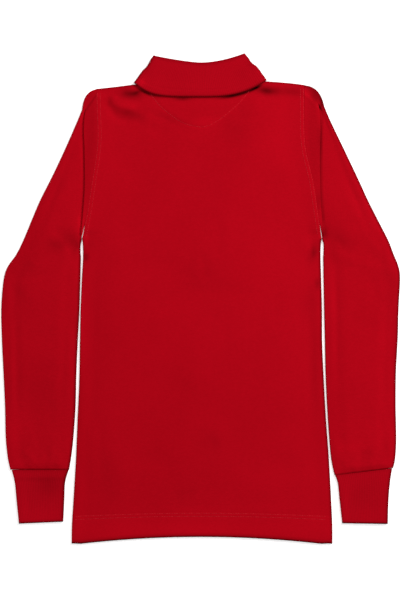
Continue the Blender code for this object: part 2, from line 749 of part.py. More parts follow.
def main():
    for old in list(bpy.data.objects):
        bpy.data.objects.remove(old)
    shirt = bpy.data.collections.new("knit_shirt")
    bpy.context.scene.collection.children.link(shirt)
    knit = material("red_cotton_knit", RED, 0.85)
    rib = material("red_rib_knit", RIB_RED, 0.88)
    plastic = material("red_button", RED, 0.4)

    neck = [NECK_ROLL_CENTRE * share for share in BACK_NECK_STEPS]
    back = body_panel(False, (*neck, *SHOULDER_COLUMNS), BACK_STEPS)
    middle = back.shape[1] // 2
    back = np.delete(back, middle, axis=1)
    cloth("back_panel", back, KNIT, knit, shirt)

    front = body_panel(True, (*FRONT_NECK_STEPS, *SHOULDER_COLUMNS), FRONT_STEPS)
    slot_column = front.shape[1] // 2 - 1
    slot_row = int(np.argmax(front[:, slot_column, 1] > BAND_BOTTOM))
    front[slot_row, slot_column : slot_column + 2, 1] = BAND_BOTTOM
    slot = {(r, slot_column) for r in range(slot_row, front.shape[0] - 1)}
    cloth("front_panel", front, KNIT, knit, shirt, left_out=slot)

    for side, arm in ARMS.items():
        cloth("sleeve_" + side, sleeve(arm), KNIT, knit, shirt, tube=True)
        cloth("cuff_" + side, cuff(arm), RIB, rib, shirt, tube=True)
    cloth("collar", collar(), RIB, rib, shirt)
    flat_band("placket_outer", BAND_OUTER, knit, shirt)
    flat_band("placket_under", BAND_UNDER, knit, shirt)
    for name, y in BUTTON_PLACES:
        button(name, y, plastic, shirt)


main()
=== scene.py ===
# %% [markdown]
# # A long-sleeved knit shirt, laid flat on its front
# The shirt is sewn from soft cotton knit: a back, a front and two sleeves of jersey, with a collar
# and two cuffs of rib. It lies face down with the sleeves swung down along its sides.
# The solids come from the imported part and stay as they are. Each piece of cloth here is a thin sheet
# on the form of its solid, with the creases, seams and stitches that show from a step away.

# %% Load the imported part
import math
from collections import namedtuple

import bpy
import numpy as np
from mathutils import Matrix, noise
from mathutils.bvhtree import BVHTree


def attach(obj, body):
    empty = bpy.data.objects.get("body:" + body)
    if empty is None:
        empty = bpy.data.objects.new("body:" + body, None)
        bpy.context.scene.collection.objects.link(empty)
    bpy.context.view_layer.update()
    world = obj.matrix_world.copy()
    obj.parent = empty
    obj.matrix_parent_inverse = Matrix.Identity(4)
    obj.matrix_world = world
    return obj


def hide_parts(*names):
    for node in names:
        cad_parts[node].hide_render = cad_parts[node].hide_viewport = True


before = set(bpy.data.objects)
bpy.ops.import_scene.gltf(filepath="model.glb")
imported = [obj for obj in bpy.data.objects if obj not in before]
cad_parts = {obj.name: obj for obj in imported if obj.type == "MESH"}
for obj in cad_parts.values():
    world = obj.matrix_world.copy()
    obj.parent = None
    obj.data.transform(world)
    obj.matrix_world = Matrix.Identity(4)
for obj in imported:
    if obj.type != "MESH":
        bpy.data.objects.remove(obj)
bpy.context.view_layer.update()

# %% [markdown]
# ## Sizes
# A pattern cutter starts from a few measured lines. These are the lines that the solids were made
# from, so that each sheet lies where its solid is: the heights of the middle of the cloth, and how
# far it takes to change from one height to the next. All are in metres, except that the rows of the
# tables are in millimetres.

# %% Cloth, heights and fades
KNIT = 0.0010
RIB = 0.0014
SEAM = 0.00004
FOLDED_SEAM = 0.0003

FLOOR_CLOTH = KNIT / 2
EDGE_CLOTH = 0.0031
PRESSED_CLOTH = 0.0019
BACK_SWELL = 0.0016
SLEEVE_SWELL = 0.0024
COLLAR_AXIS = 0.0037
STAND_ROLL = 0.0009
FALL_ROLL = COLLAR_AXIS - RIB / 2
BAND_OUTER = 0.0028
BAND_UNDER = 0.0041
OVER_BANDS = 0.0055
FRONT_AT_COLLAR = COLLAR_AXIS - STAND_ROLL
BACK_AT_COLLAR = COLLAR_AXIS + STAND_ROLL
EDGE_ROLL = (EDGE_CLOTH - FLOOR_CLOTH) / 2

EDGE_FADE = 0.030
TOP_FADE = 0.025
SWELL_FADE = 0.050
BACK_COLLAR_REACH = 0.120
BACK_COLLAR_FADE = 0.030
FRONT_COLLAR_REACH = 0.112
FRONT_COLLAR_FADE = 0.022
OVER_BANDS_REACH = 0.115
OVER_BANDS_FADE = 0.055
OVER_BANDS_Y = 0.020
OVER_BANDS_RISE = 0.060
POINT_Y = 0.148
POINT_SLOPE_Y = 0.100
POINT_REACH = 0.048
POINT_SIDE = 0.034
POINT_SLOPE_X = 0.040
POINT_BOW = 1.6
POINT_RISE = 0.014

# %% The pleat that each sleeve makes where it swings down
PLEAT_ROLL = 0.0007
PLEAT_UNDERLAP = 0.0050
PLEAT_BEYOND = 0.0010
PLEAT_RAMP = 0.075
UNDERLAP_START = 0.10
UNDERLAP_END = 0.93
UNDERLAP_END_FADE = 0.30
FLAT_TURN = math.radians(30)
UNDERARM_PARTING_FROM = 0.88
UNDERARM_PARTING_FADE = 0.08
PUFF_RINGS = 6.0
UNPRESSED_RINGS = 3.0
SLEEVE_EDGE_SHARE = 0.3
INNER_TURN_RATE = 1.5

# %% Tables in millimetres


def in_metres(kind, rows):
    """Records in metres, from a table of rows in millimetres."""
    return [kind(*(size / 1000 for size in row)) for row in rows]


# %% Neck, front opening and hem
NECK_HALF = 0.0760
NECK_ROLL_CENTRE = NECK_HALF - STAND_ROLL
FRONT_NECK_DROP = 0.0680
FRONT_NECK_POWER = 2.6
BAND_WIDTH = 0.0280
BAND_BOTTOM = 0.0910
BAND_RAMP = 0.0160
HEM_LINE = -0.3098
HEM_DIP = 0.0088
HEM_DIP_AT = 0.1550
HEM_CORNER = 0.0017
HEM_CORNER_WIDTH = 0.0130
COLLAR_END = 0.0050

TopPoint = namedtuple("TopPoint", "x y")
TOP_EDGE = in_metres(TopPoint, (
    (-136, 273.1), (-121, 274.7), (-90, 278.1), (-76, 279.5), (-40, 273.6), (0, 271.8),
    (40, 275.4), (76, 283.2), (90, 282.4), (121, 280.1), (134.5, 278.3)
))

SidePoint = namedtuple("SidePoint", "y left right")
BODY_SIDES = in_metres(SidePoint, (
    (78.3, 154.1, 156.6), (63, 153.3, 156), (24, 155, 156.8), (-15, 156.6, 157.8),
    (-54, 157.4, 158), (-106, 158.3, 160.2), (-158, 160.6, 163.1), (-210, 162.7, 166.9),
    (-262, 165.8, 169.7), (-300, 168, 171.3), (-320, 168.2, 171.3)
))

# %% Armholes, sleeves and cuffs
# One row for each turn of a sleeve: where its cloth ends outwards and inwards.
ArmholePoint = namedtuple("ArmholePoint", "y seam fold")
SleeveRing = namedtuple("SleeveRing", "outer_x outer_y inner_x inner_y")
Arm = namedtuple("Arm", "sign corner armhole rings cuff")
ARMS = {
    "left": Arm(
        sign=-1,
        corner=(0.1525, 0.2702),
        armhole=in_metres(ArmholePoint, (
            (273.1, 136, 150), (250, 135.8, 152.4), (206.3, 134.7, 151.7),
            (147.8, 142.5, 151.8), (109, 148.5, 154.5), (78.3, 154.8, 157.2)
        )),
        rings=in_metres(SleeveRing, (
            (154.6, 246, 155.8, 73.5), (162.5, 227, 156.4, 70), (177.3, 193.3, 156.5, 65),
            (193, 160, 156.5, 59), (209, 128.3, 156, 53), (220.2, 102, 156.2, 46),
            (230.9, 76.3, 156.4, 38), (240, 58, 156.6, 30), (251.5, 41.5, 156.8, 22),
            (256.8, 24.3, 157.2, 11), (259.8, -12, 158, -15), (259.1, -52, 160, -53),
            (257, -96, 161.8, -96), (255, -140, 163, -140), (254, -180, 165.6, -179),
            (251.5, -206, 168.5, -205), (248, -222.5, 171.4, -222.5)
        )),
        cuff=in_metres(SleeveRing, (
            (246.2, -222.7, 172, -222.7), (242.2, -239, 176.6, -239),
            (240, -261.7, 177.6, -261.7), (236.8, -292.5, 179, -290)
        )),
    ),
    "right": Arm(
        sign=1,
        corner=(0.1555, 0.2770),
        armhole=in_metres(ArmholePoint, (
            (278.3, 134.5, 153), (250, 134.7, 155.6), (193.3, 137, 155), (154.3, 146.1, 155.6),
            (108.8, 153, 157.8), (78.3, 157.6, 160)
        )),
        rings=in_metres(SleeveRing, (
            (160.7, 250.5, 159.1, 74), (169, 231, 159.7, 70), (187.1, 193.3, 159.7, 65),
            (205.6, 154.3, 159.6, 59), (217.5, 128.3, 159.2, 53), (230.6, 102.3, 159.3, 46),
            (243.9, 76.3, 159.4, 38), (251, 58, 159.5, 30), (257, 43, 159.7, 22),
            (259.4, 27, 159.9, 11), (257.5, -12, 160.4, -15), (256.4, -52, 161.3, -53),
            (254.1, -96, 162.2, -96), (253.7, -140, 164.2, -140), (254.5, -183, 167.1, -183),
            (253, -208, 169.8, -210), (250.4, -220.5, 174, -229.5)
        )),
        cuff=in_metres(SleeveRing, (
            (249, -220.7, 174.8, -229.7), (246.4, -238, 178.4, -241),
            (244.3, -261.7, 180.6, -261.7), (243.4, -293, 184, -292)
        )),
    ),
}

# %% Collar lines: neck seam, crease over the top, and the fall's free edge
CollarLine = namedtuple(
    "CollarLine",
    "left_x left_y right_x right_y middle_y left_bow right_bow turn end_x end_y front_bow",
)
NECK_LINE = CollarLine(
    left_x=-NECK_ROLL_CENTRE, left_y=0.2799, right_x=NECK_ROLL_CENTRE, right_y=0.2836, middle_y=0.2721,
    left_bow=2.0, right_bow=2.0, turn=22.0, end_x=COLLAR_END, end_y=0.2140, front_bow=FRONT_NECK_POWER,
)
CREASE_LINE = CollarLine(
    left_x=-0.0590, left_y=0.3138, right_x=0.0546, right_y=0.3164, middle_y=0.3052,
    left_bow=1.4, right_bow=1.8, turn=26.0, end_x=COLLAR_END, end_y=0.2400, front_bow=2.2,
)
FALL_EDGE_LINE = CollarLine(
    left_x=-0.0842, left_y=0.2788, right_x=0.0828, right_y=0.2822, middle_y=0.2622,
    left_bow=4.8, right_bow=2.8, turn=32.0, end_x=0.0480, end_y=0.1780, front_bow=1.5,
)

# %% [markdown]
# ## How fine the sheets are
# A crease in soft knit is 10 to 40 mm wide, so cells of 4 to 5 mm carry it. Rolls of cloth at folds
# and edges are only 1 or 2 mm across, so a few closer lines go there.

# %% Lines of the sheets
SLOT_COLUMNS = 6
SLOT_HALF = 0.0143
NECK_COLUMNS = np.concatenate(
    [np.linspace(0, SLOT_HALF, SLOT_COLUMNS, False), np.linspace(SLOT_HALF, NECK_ROLL_CENTRE, 27)]
)
SHOULDER_COLUMNS = np.concatenate([(NECK_HALF,), np.linspace(0.0785, 0.1050, 12)])
OUTER_SHARES = np.concatenate([np.linspace(0, 1, 13)[1:-1], (0.95, 0.98, 1)])
ROLL_TURNS = np.radians((22.5, 45, 67.5, 90))
FOLD_TURNS = np.radians((-67.5, -45, -22.5, 0, 22.5, 45, 67.5))
HEM_SHARES = np.concatenate(
    [
        (0, 0.0015, 0.004),
        np.linspace(0.008, 0.064, 8),
        np.linspace(0.068, 0.112, 13),
        np.linspace(0.116, 1, 80)[:-1],
    ]
)
ARMHOLE_SHARES = np.unique(
    np.concatenate([np.linspace(0, 0.27, 44), np.linspace(0.27, 0.92, 28), np.linspace(0.92, 1, 6)])
)
FRONT_SHARES = np.linspace(0, 1, 25)
STRIP_SHARES = (0, 0.03, 0.35, 0.70)
STRIP_ROWS = len(STRIP_SHARES)
PLEAT_STEPS = np.linspace(0, 1, 8)
PLEAT_ROWS = 2 * len(PLEAT_STEPS) + STRIP_ROWS + 1
RINGS_EACH = 6
SAME_PLACE = 1e-6
half_columns = len(NECK_COLUMNS) + len(SHOULDER_COLUMNS) + len(OUTER_SHARES) + len(ROLL_TURNS)
print("columns across the back:", 2 * half_columns - 1)

# %% Smooth steps and curves


def mix(low, high, share):
    return low + (high - low) * share


def ease(share):
    held = np.clip(share, 0.0, 1.0)
    return held * held * (3.0 - 2.0 * held)


def bell(distance, centre, width):
    return np.exp(-(((distance - centre) / width) ** 2))


def smooth_at(places, values, at):
    """A smooth curve through (place, value) rows, read at one place or at an array of them."""
    order = np.argsort(places)
    xs = np.asarray(places, float)[order]
    ys = np.asarray(values, float)[order]
    slopes = np.gradient(ys, xs)
    at = np.clip(at, xs[0], xs[-1])
    left = np.clip(np.searchsorted(xs, at) - 1, 0, len(xs) - 2)
    width = xs[left + 1] - xs[left]
    t = (at - xs[left]) / width
    from_ends = (2 * t**3 - 3 * t**2 + 1) * ys[left] + (3 * t**2 - 2 * t**3) * ys[left + 1]
    from_slopes = (t**3 - 2 * t**2 + t) * slopes[left] + (t**3 - t**2) * slopes[left + 1]
    return from_ends + width * from_slopes


def read_table(rows, place, value, at):
    """The smooth curve through two columns of a table, read at one place or at an array of them."""
    return smooth_at([getattr(row, place) for row in rows], [getattr(row, value) for row in rows], at)


# %% [markdown]
# ## Creases
# Cloth that was folded and laid out keeps soft troughs and ridges. They could come from a cloth
# simulation, but then they'd fall where they like. Here each one is placed one by one, as a hand presses
# it: a line with its own length, width and depth, which fades out at both ends.

# %% The main creases of the back
# Each row is in millimetres: both ends, how far the middle stands off the line between them, the width
# and the depth, which is below zero for a trough.
Crease = namedtuple("Crease", "x1 y1 x2 y2 bow width depth")
BACK_CREASES = (
    (-120, 264, -83, 246, -6, 6.8, 3.4),
    (-121, 249, -87, 231, -6, 5.5, -1),
    (-108, 270, -74, 267, -2, 5, -0.8),
    (72, 272, 104, 270.5, -1, 4.5, -0.8),
    (-76, 240, -50, 226, -3, 9, 0.7),
    (-70, 228, -40, 214, -2, 8, -0.6),
    (40, 262, 52, 226, 3, 8, -0.6),
    (62, 268, 74, 236, 2, 7, 0.5),
    (100, 270, 78, 262, 2, 6, -0.6),
    (-140, 60, -148, 90, 2, 5, -0.6),
    (-150, 48, -139, 82, 3, 4, 0.7),
    (147, 62, 140, 100, 2, 5, -0.7),
    (149, 46, 137, 78, 3, 4.5, 0.6),
    (20, 110, 22, 46, 3, 7, -0.3),
    (32, 122, 34, 46, 2, 8, 0.2),
    (4, 60, 10, 20, -3, 6, -0.5),
    (-20, 10, 80, 4, 4, 8, -0.4),
    (-60, -4, 60, -10, -4, 10, 0.4),
    (-110, 40, 4, 30, 6, 14, -0.5),
    (30, -60, 110, -40, 6, 16, 0.5),
    (-96, -100, -10, -130, 8, 16, -0.6),
    (10, -176, 16, -200, 2, 7, -0.6),
    (-20, -246, -12, -262, 2, 8, -0.6),
    (-130, -150, -126, -240, -4, 6, -0.5),
    (-138, -150, -136, -250, -3, 6, 0.5),
    (-148, -60, -150, -260, -2, 6, 0.4),
    (150, 10, 152, -140, 2, 5.5, 0.4),
    (142, 0, 143, -130, 2, 5, -0.4),
    (60, 200, 120, 150, 10, 18, 0.6),
    (-110, 190, -50, 150, -10, 16, -0.4),
    (80, -210, 130, -230, 6, 14, -0.5),
    (-100, -210, -30, -222, 6, 14, -0.6),
    (-60, -268, 50, -262, 4, 9, 0.4),
)
print("creases in the back:", len(BACK_CREASES))

# %% Creases of the front, which lifts a little off the floor, and of the sleeves
FRONT_CREASES = (
    (-120, 60, -40, 20, 8, 9, 0.8),
    (50, 40, 120, 10, -8, 10, 0.9),
    (-100, -60, 20, -86, 10, 11, 0.7),
    (20, -140, 110, -120, -6, 9, 0.8),
    (-120, -190, -50, -210, 6, 10, 0.8),
    (60, -230, 64, -150, 4, 8, 0.6),
    (-10, 60, 6, 0, -4, 8, 0.7),
    (-140, 120, -110, 170, 5, 8, 0.7),
    (140, 110, 112, 160, -5, 8, 0.8),
)
SLEEVE_CREASES = {
    "left": (
        (-195, 90, -162, 60, 4, 8, -0.9),
        (-200, 78, -168, 84, -4, 6, 0.6),
        (-175, 62, -158, 70, 2, 5, -0.8),
        (-222, 100, -228, 60, 3, 6, -0.6),
        (-246, 36, -215, 50, 4, 6, 0.6),
        (-250, 20, -228, -20, 4, 8, -0.7),
        (-252, 28, -190, 32, -3, 7, -0.5),
        (-185, 200, -205, 150, 3, 6, -0.6),
        (-182, 170, -192, 110, 4, 8, 0.5),
        (-240, -95, -170, -98, 3, 5, -0.5),
        (-240, -104, -176, -106, 3, 6, 0.4),
        (-236, -50, -180, -60, 4, 12, -0.6),
        (-200, -130, -190, -180, 3, 8, -0.5),
        (-225, -160, -222, -214, 3, 6, 0.5),
        (-232, -196, -214, -216, 1, 4, 0.6),
        (-200, -196, -202, -218, 1, 4, -0.6),
        (-184, -200, -188, -219, 1, 4, 0.5),
        (-247, -10, -248, -150, 2, 4.5, 0.5),
        (-170, -20, -174, -150, 1, 4.5, 0.4),
    ),
    "right": (
        (164, 90, 200, 60, -4, 11, -0.6),
        (170, 78, 186, 66, 2, 5, -0.6),
        (168, 58, 204, 46, 3, 7, 0.7),
        (226, 84, 236, 46, 3, 6, -0.6),
        (206, 44, 250, 30, 3, 7, 0.6),
        (220, 30, 226, -20, 4, 8, -0.6),
        (196, 170, 212, 116, 3, 6, -0.6),
        (186, 150, 200, 96, 3, 10, 0.2),
        (166, 40, 168, -100, 2, 4.5, 0.6),
        (173, 36, 176, -90, 2, 4, -0.4),
        (246, 0, 244, -120, 2, 4.5, 0.5),
        (180, -30, 232, -40, 4, 12, -0.5),
        (190, -110, 240, -104, 3, 10, 0.5),
        (232, -150, 234, -200, 3, 6, -0.5),
        (184, -206, 190, -224, 1, 4, 0.5),
        (208, -196, 206, -220, 1, 4, -0.6),
        (222, -190, 220, -217, 1, 5, 0.5),
        (238, -186, 240, -213, 1, 4, -0.5),
    ),
}

# %% Read the creases at points of the cloth
CREASE_HOLD = 0.55
CREASE_END = 0.08
UNEVEN = 0.00013
UNEVEN_SIZE = 0.055
UNEVEN_LAYER = 0.3
FINE_SHARE = 0.5
FINE_RATE = 40
FINE_LAYER = 7.7


def crease_relief(creases, x, y):
    """How far the creases lift or lower the cloth at each point."""
    relief = np.zeros(np.broadcast(x, y).shape)
    for line in in_metres(Crease, creases):
        along_x, along_y = line.x2 - line.x1, line.y2 - line.y1
        length = math.hypot(along_x, along_y)
        along = ((x - line.x1) * along_x + (y - line.y1) * along_y) / length**2
        off = ((y - line.y1) * along_x - (x - line.x1) * along_y) / length
        off = off - line.bow * (1 - (2 * along - 1) ** 2)
        fade = np.exp(-np.maximum(0.0, np.abs(2 * along - 1) - CREASE_HOLD) ** 2 / CREASE_END)
        relief += line.depth * fade * bell(off, 0, line.width)
    return relief


def unevenness(x, y):
    """The slight rise and fall that knit keeps after it is smoothed by hand."""
    values = [
        noise.noise((px / UNEVEN_SIZE, py / UNEVEN_SIZE, UNEVEN_LAYER))
        + FINE_SHARE * noise.noise((px * FINE_RATE, py * FINE_RATE, FINE_LAYER))
        for px, py in zip(np.ravel(x), np.ravel(y))
    ]
    return UNEVEN * np.reshape(values, np.shape(x))


# %% [markdown]
# ## Edges of the body
# The body's outline is a top edge over both shoulders, two side edges and a hem that dips to the
# sides. The armhole seams cut the top corners off, where the sleeves are sewn in.

# %% Outline of the body


def top_edge(x):
    return read_table(TOP_EDGE, "x", "y", x)


def hem_edge(x):
    corner = HEM_CORNER * ease((np.abs(x) - HEM_DIP_AT) / HEM_CORNER_WIDTH)
    return HEM_LINE - HEM_DIP * (np.abs(x) / HEM_DIP_AT) ** 2 + corner


def front_neck(x):
    """The scooped front neck seam, between the two neck points."""
    tilt = (top_edge(NECK_HALF) - top_edge(-NECK_HALF)) / (2 * NECK_HALF)
    line = (top_edge(NECK_HALF) + top_edge(-NECK_HALF)) / 2 + tilt * x
    share = np.clip(np.abs(x) / NECK_ROLL_CENTRE, 0.0, 1.0)
    return line - FRONT_NECK_DROP * (1.0 - share**FRONT_NECK_POWER)


def body_side(arm, y):
    return read_table(BODY_SIDES, "y", "left" if arm.sign < 0 else "right", y) - KNIT / 2


def seam_parting(share):
    """Half the room between body and sleeve: a seam, and a wall more towards the underarm."""
    return SEAM / 2 + KNIT / 2 * ease((share - UNDERARM_PARTING_FROM) / UNDERARM_PARTING_FADE)


def shoulder_y(arm):
    return arm.armhole[0].y - KNIT / 2


def armhole_y(arm, share):
    return mix(shoulder_y(arm) - EDGE_ROLL, arm.armhole[-1].y + EDGE_ROLL, share)


def armhole_x(arm, y, column="seam"):
    return read_table(arm.armhole, "y", column, y)


# %% Height of the sleeve's pleat along the armhole


def from_ends(share):
    return np.minimum(share, 1.0 - share)


def pleat_turn(share):
    """Angle by which the pleat's folds turn: none at shoulder and underarm, a full fold between."""
    return math.pi * ease(from_ends(share) / PLEAT_RAMP)


def pleat_underlap(share):
    starts = ease((share - PLEAT_RAMP) / UNDERLAP_START)
    return PLEAT_UNDERLAP * starts * ease((UNDERLAP_END - share) / UNDERLAP_END_FADE)


def under_pleat(share):
    """Height of the sleeve where it comes out from below the pleat."""
    return mix(EDGE_CLOTH, PRESSED_CLOTH, ease(from_ends(share) / PLEAT_RAMP))


def armhole_height(share):
    turn = pleat_turn(share)
    rolled = under_pleat(share) + 2 * PLEAT_ROLL * (1 - np.cos(turn))
    return rolled + pleat_underlap(share) * np.sin(turn)


# %% [markdown]
# ## Heights of front and back
# The front lies on the floor and only lifts where the buttoned bands and the collar's points lie
# below it. The back lies on the front, a few millimetres up, and swells a little in the middle.

# %% Height of the cloth


def front_height(x, y):
    reach = np.abs(x)
    band = ease((BAND_WIDTH / 2 + BAND_RAMP - reach) / BAND_RAMP)
    band = band * ease((y - BAND_BOTTOM + BAND_RAMP) / BAND_RAMP)
    beside = np.clip(reach - POINT_REACH, 0.0, POINT_SIDE) / POINT_SLOPE_X
    rise_from = POINT_Y + POINT_SLOPE_Y * beside**POINT_BOW
    collar = ease((y - rise_from) / POINT_RISE) * ease((FRONT_COLLAR_REACH - reach) / FRONT_COLLAR_FADE)
    return FLOOR_CLOTH + (FRONT_AT_COLLAR - FLOOR_CLOTH) * np.maximum(band, collar)


def back_at_top(x):
    return mix(EDGE_CLOTH, BACK_AT_COLLAR, ease((BACK_COLLAR_REACH - np.abs(x)) / BACK_COLLAR_FADE))


def back_height(x, y, side_distance, side_height):
    swell = ease(side_distance / SWELL_FADE) * ease((y - hem_edge(x)) / SWELL_FADE)
    height = EDGE_CLOTH + BACK_SWELL * swell
    band_side = ease((OVER_BANDS_REACH - np.abs(x)) / OVER_BANDS_FADE)
    height = mix(height, OVER_BANDS, band_side * ease((y - OVER_BANDS_Y) / OVER_BANDS_RISE))
    height = mix(back_at_top(x), height, ease((top_edge(x) - y) / TOP_FADE))
    return mix(side_height, height, ease(side_distance / EDGE_FADE))


# %% [markdown]
# ## The turned hem
# The hem is the cloth's own edge, turned in and held by two rows of stitches. Two layers are thicker
# than one, so the band stands a little proud, and each row of stitches pulls the cloth down.

# %% Relief of the hem
HEM_BAND = 0.0310
HEM_ROWS = (0.0, 0.0040)
HEM_STEP = 0.00035
HEM_STEP_WIDTH = 0.003
HEM_EDGE_WIDTH = 0.004
HEM_PULL = 0.00030
HEM_PULL_WIDTH = 0.0014
HEM_BAND_DIP = 0.45


def hem_band_line(x, below=0.0):
    """The top of the hem's band, or a row of stitches below it: they dip less than the edge."""
    return HEM_LINE + HEM_BAND - below - HEM_BAND_DIP * HEM_DIP * (np.abs(x) / HEM_DIP_AT) ** 2


def hem_relief(x, y):
    step = HEM_STEP * ease((hem_band_line(x) - y) / HEM_STEP_WIDTH + 0.5)
    step = step * ease((y - hem_edge(x)) / HEM_EDGE_WIDTH)
    for below in HEM_ROWS:
        step = step - HEM_PULL * bell(y, hem_band_line(x, below), HEM_PULL_WIDTH)
    return step


# %% [markdown]
# ## Half-moon, seams and side folds
# Below the collar a half-moon of knit is sewn inside the back, and shows as a low step with a line of
# stitches. Beside the armhole seams the cloth is three layers thick, and along the side folds it
# springs up in a soft rib. All are low relief on the panels.

# %% Relief of the half-moon, the seams and the folds
MOON_LINE = in_metres(TopPoint, (
    (-70, 272), (-54.1, 251.8), (-40, 239.5), (-25.5, 229.7), (-10, 224.5), (3.1, 223.2),
    (20, 230), (36.9, 242.7), (49.9, 254.4), (68, 276)
))
MOON_REACH = 0.0680
MOON_STEP = 0.00045
MOON_STEP_WIDTH = 0.0025
MOON_PULL = 0.9
MOON_PULL_WIDTH = 0.0014
SEAM_RIDGE = 0.00022
SEAM_RIDGE_AT = 0.0030
SEAM_RIDGE_WIDTH = 0.0026
SEAM_FROM_EDGE = 0.0025
STITCH_ROOM = 0.00050
STITCH_ROOM_AT = 0.0035
FOLD_RIDGE = 0.00055
FOLD_RIDGE_AT = 0.0060
FOLD_TROUGH = 0.00030
FOLD_TROUGH_AT = 0.0160
FOLD_TROUGH_WIDTH = 0.0050
FOLD_FROM_EDGE = 0.004
FOLD_MEAN, FOLD_SWING = 0.55, 0.45
FOLD_WAVES = (41, 97)


def half_moon(x):
    return read_table(MOON_LINE, "x", "y", x)


def moon_relief(x, y):
    above = y - half_moon(x)
    shape = ease(above / MOON_STEP_WIDTH + 0.5) - MOON_PULL * bell(above, 0, MOON_PULL_WIDTH)
    return MOON_STEP * shape * (np.abs(x) < MOON_REACH)


def seam_relief(distance):
    return SEAM_RIDGE * bell(distance, SEAM_RIDGE_AT, SEAM_RIDGE_WIDTH) * ease(distance / SEAM_FROM_EDGE)


def fold_relief(distance, along):
    """The soft rib beside a side fold, which comes and goes along it."""
    strength = FOLD_MEAN + FOLD_SWING * np.sin(FOLD_WAVES[0] * along) * np.sin(FOLD_WAVES[1] * along + 1)
    ridge = FOLD_RIDGE * bell(distance, FOLD_RIDGE_AT, FOLD_RIDGE_AT)
    shape = ridge - FOLD_TROUGH * bell(distance, FOLD_TROUGH_AT, FOLD_TROUGH_WIDTH)
    return strength * ease(distance / FOLD_FROM_EDGE) * shape


# %% [markdown]
# ## Front and back
# Each panel is a grid of points from the hem up over the shoulders. Its lines bend with the side
# edges, the armholes and the neck, and its last lines roll over the edge to meet the other panel.

# %% How far from each edge the relief is at its full height
# Where the front rises by FRONT_LIFT its creases are pressed out. SIDES_SHIFT sets the two side folds
# apart, so that their ribs differ.
FROM_SIDE = 0.014
FROM_TOP = 0.006
FROM_HEM = 0.008
FRONT_FROM_HEM = 0.012
FROM_SEWN_EDGE = 0.006
FRONT_LIFT = 0.001
SIDES_SHIFT = 0.1

# %% One row of a panel
SideEdge = namedtuple("SideEdge", "x y fall height")


def low_side(arm, share):
    y = mix(float(hem_edge(HEM_DIP_AT)), arm.armhole[-1].y, share)
    return SideEdge(body_side(arm, y), y, EDGE_ROLL - FOLDED_SEAM / 2, EDGE_CLOTH)


def underarm_side(arm, turn):
    y = arm.armhole[-1].y + EDGE_ROLL * (1 - math.sin(turn))
    fall = max(EDGE_ROLL * (1 - math.cos(turn)) - FOLDED_SEAM / 2, 0.0)
    return SideEdge(armhole_x(arm, y) - seam_parting(1), y, fall, EDGE_CLOTH)


def armhole_side(arm, share):
    y = armhole_y(arm, share)
    return SideEdge(armhole_x(arm, y) - seam_parting(share), y, 0.0, armhole_height(share))


def row_places(sides):
    """x, distance to the side, turn on the side's roll, fall and height there, from left to right."""
    inner = np.concatenate([NECK_COLUMNS, SHOULDER_COLUMNS])
    halves = []
    for name in ("left", "right"):
        side = sides[name]
        flat = side.x - EDGE_ROLL
        rolled = flat + EDGE_ROLL * np.sin(ROLL_TURNS)
        x = np.concatenate([inner, mix(inner[-1], flat, OUTER_SHARES), rolled])
        turn = np.concatenate([np.zeros(len(x) - len(ROLL_TURNS)), ROLL_TURNS])
        fall, height = (np.full(len(x), value) for value in (side.fall, side.height))
        halves.append((ARMS[name].sign * x, side.x - x, turn, fall, height))
    return [np.concatenate([left[::-1], right[1:]]) for left, right in zip(*halves)]


def top_fold(x, front):
    """Where the cloth ends at the top, the size of its roll there and its fall to the seam."""
    reach = np.abs(x)
    roll = (back_at_top(x) - front_height(x, top_edge(x))) / 2
    neck = front_neck(x) if front else top_edge(x)
    end = np.where(reach > NECK_ROLL_CENTRE - SAME_PLACE, top_edge(x) - KNIT / 2, neck)
    fall = np.where(reach > NECK_HALF - SAME_PLACE, roll - FOLDED_SEAM / 2, 0.0)
    return end, roll, fall


def panel_points(front, x, y, z_y, side_distance, height, fall, sewn):
    """The row's points; z_y is the place at which the height is read."""
    to_top, to_hem = top_edge(x) - y, y - hem_edge(x)
    inside = ease(side_distance / FROM_SIDE) * ease(to_top / FROM_TOP)
    at_sewn_edge = ease(side_distance / FROM_SEWN_EDGE)
    uneven = unevenness(x, y)
    if front:
        clear = 1 - ease((front_height(x, y) - FLOOR_CLOTH) / FRONT_LIFT)
        relief = (crease_relief(FRONT_CREASES, x, y) + np.abs(uneven)) * clear * inside
        relief = relief * ease(to_hem / FRONT_FROM_HEM)
        for below in HEM_ROWS:
            relief = relief + HEM_PULL * bell(y, hem_band_line(x, below), HEM_PULL_WIDTH) * at_sewn_edge
        if sewn:
            relief = relief + STITCH_ROOM * bell(side_distance, STITCH_ROOM_AT, STITCH_ROOM_AT)
        return np.stack([x, y, front_height(x, z_y) + fall + relief], axis=1)
    relief = (crease_relief(BACK_CREASES, x, y) + uneven) * inside * ease(to_hem / FROM_HEM)
    relief = relief + hem_relief(x, y) * at_sewn_edge + moon_relief(x, y)
    if sewn:
        edge = seam_relief(side_distance)
    else:
        edge = fold_relief(side_distance, y + SIDES_SHIFT * np.sign(x))
    relief = relief + edge * ease(to_top / FROM_TOP) * ease(to_hem / FROM_SEWN_EDGE)
    return np.stack([x, y, back_height(x, z_y, side_distance, height) - fall + relief], axis=1)


def panel_row(sides, front, hem_share, top_share):
    x, side_distance, turn, side_fall, height = row_places(sides)
    across = (x - x[0]) / (x[-1] - x[0])
    y = mix(sides["left"].y, sides["right"].y, across)
    y = y + (hem_edge(x) - hem_edge(HEM_DIP_AT)) * hem_share
    end, roll, _ = top_fold(x, front)
    top = mix(shoulder_y(ARMS["left"]) - EDGE_ROLL, shoulder_y(ARMS["right"]) - EDGE_ROLL, across)
    y = y + (end - roll - top) * top_share
    sewn = sides["left"].fall == 0
    return panel_points(front, x, y, y, side_distance, height, side_fall * (1 - np.cos(turn)), sewn)


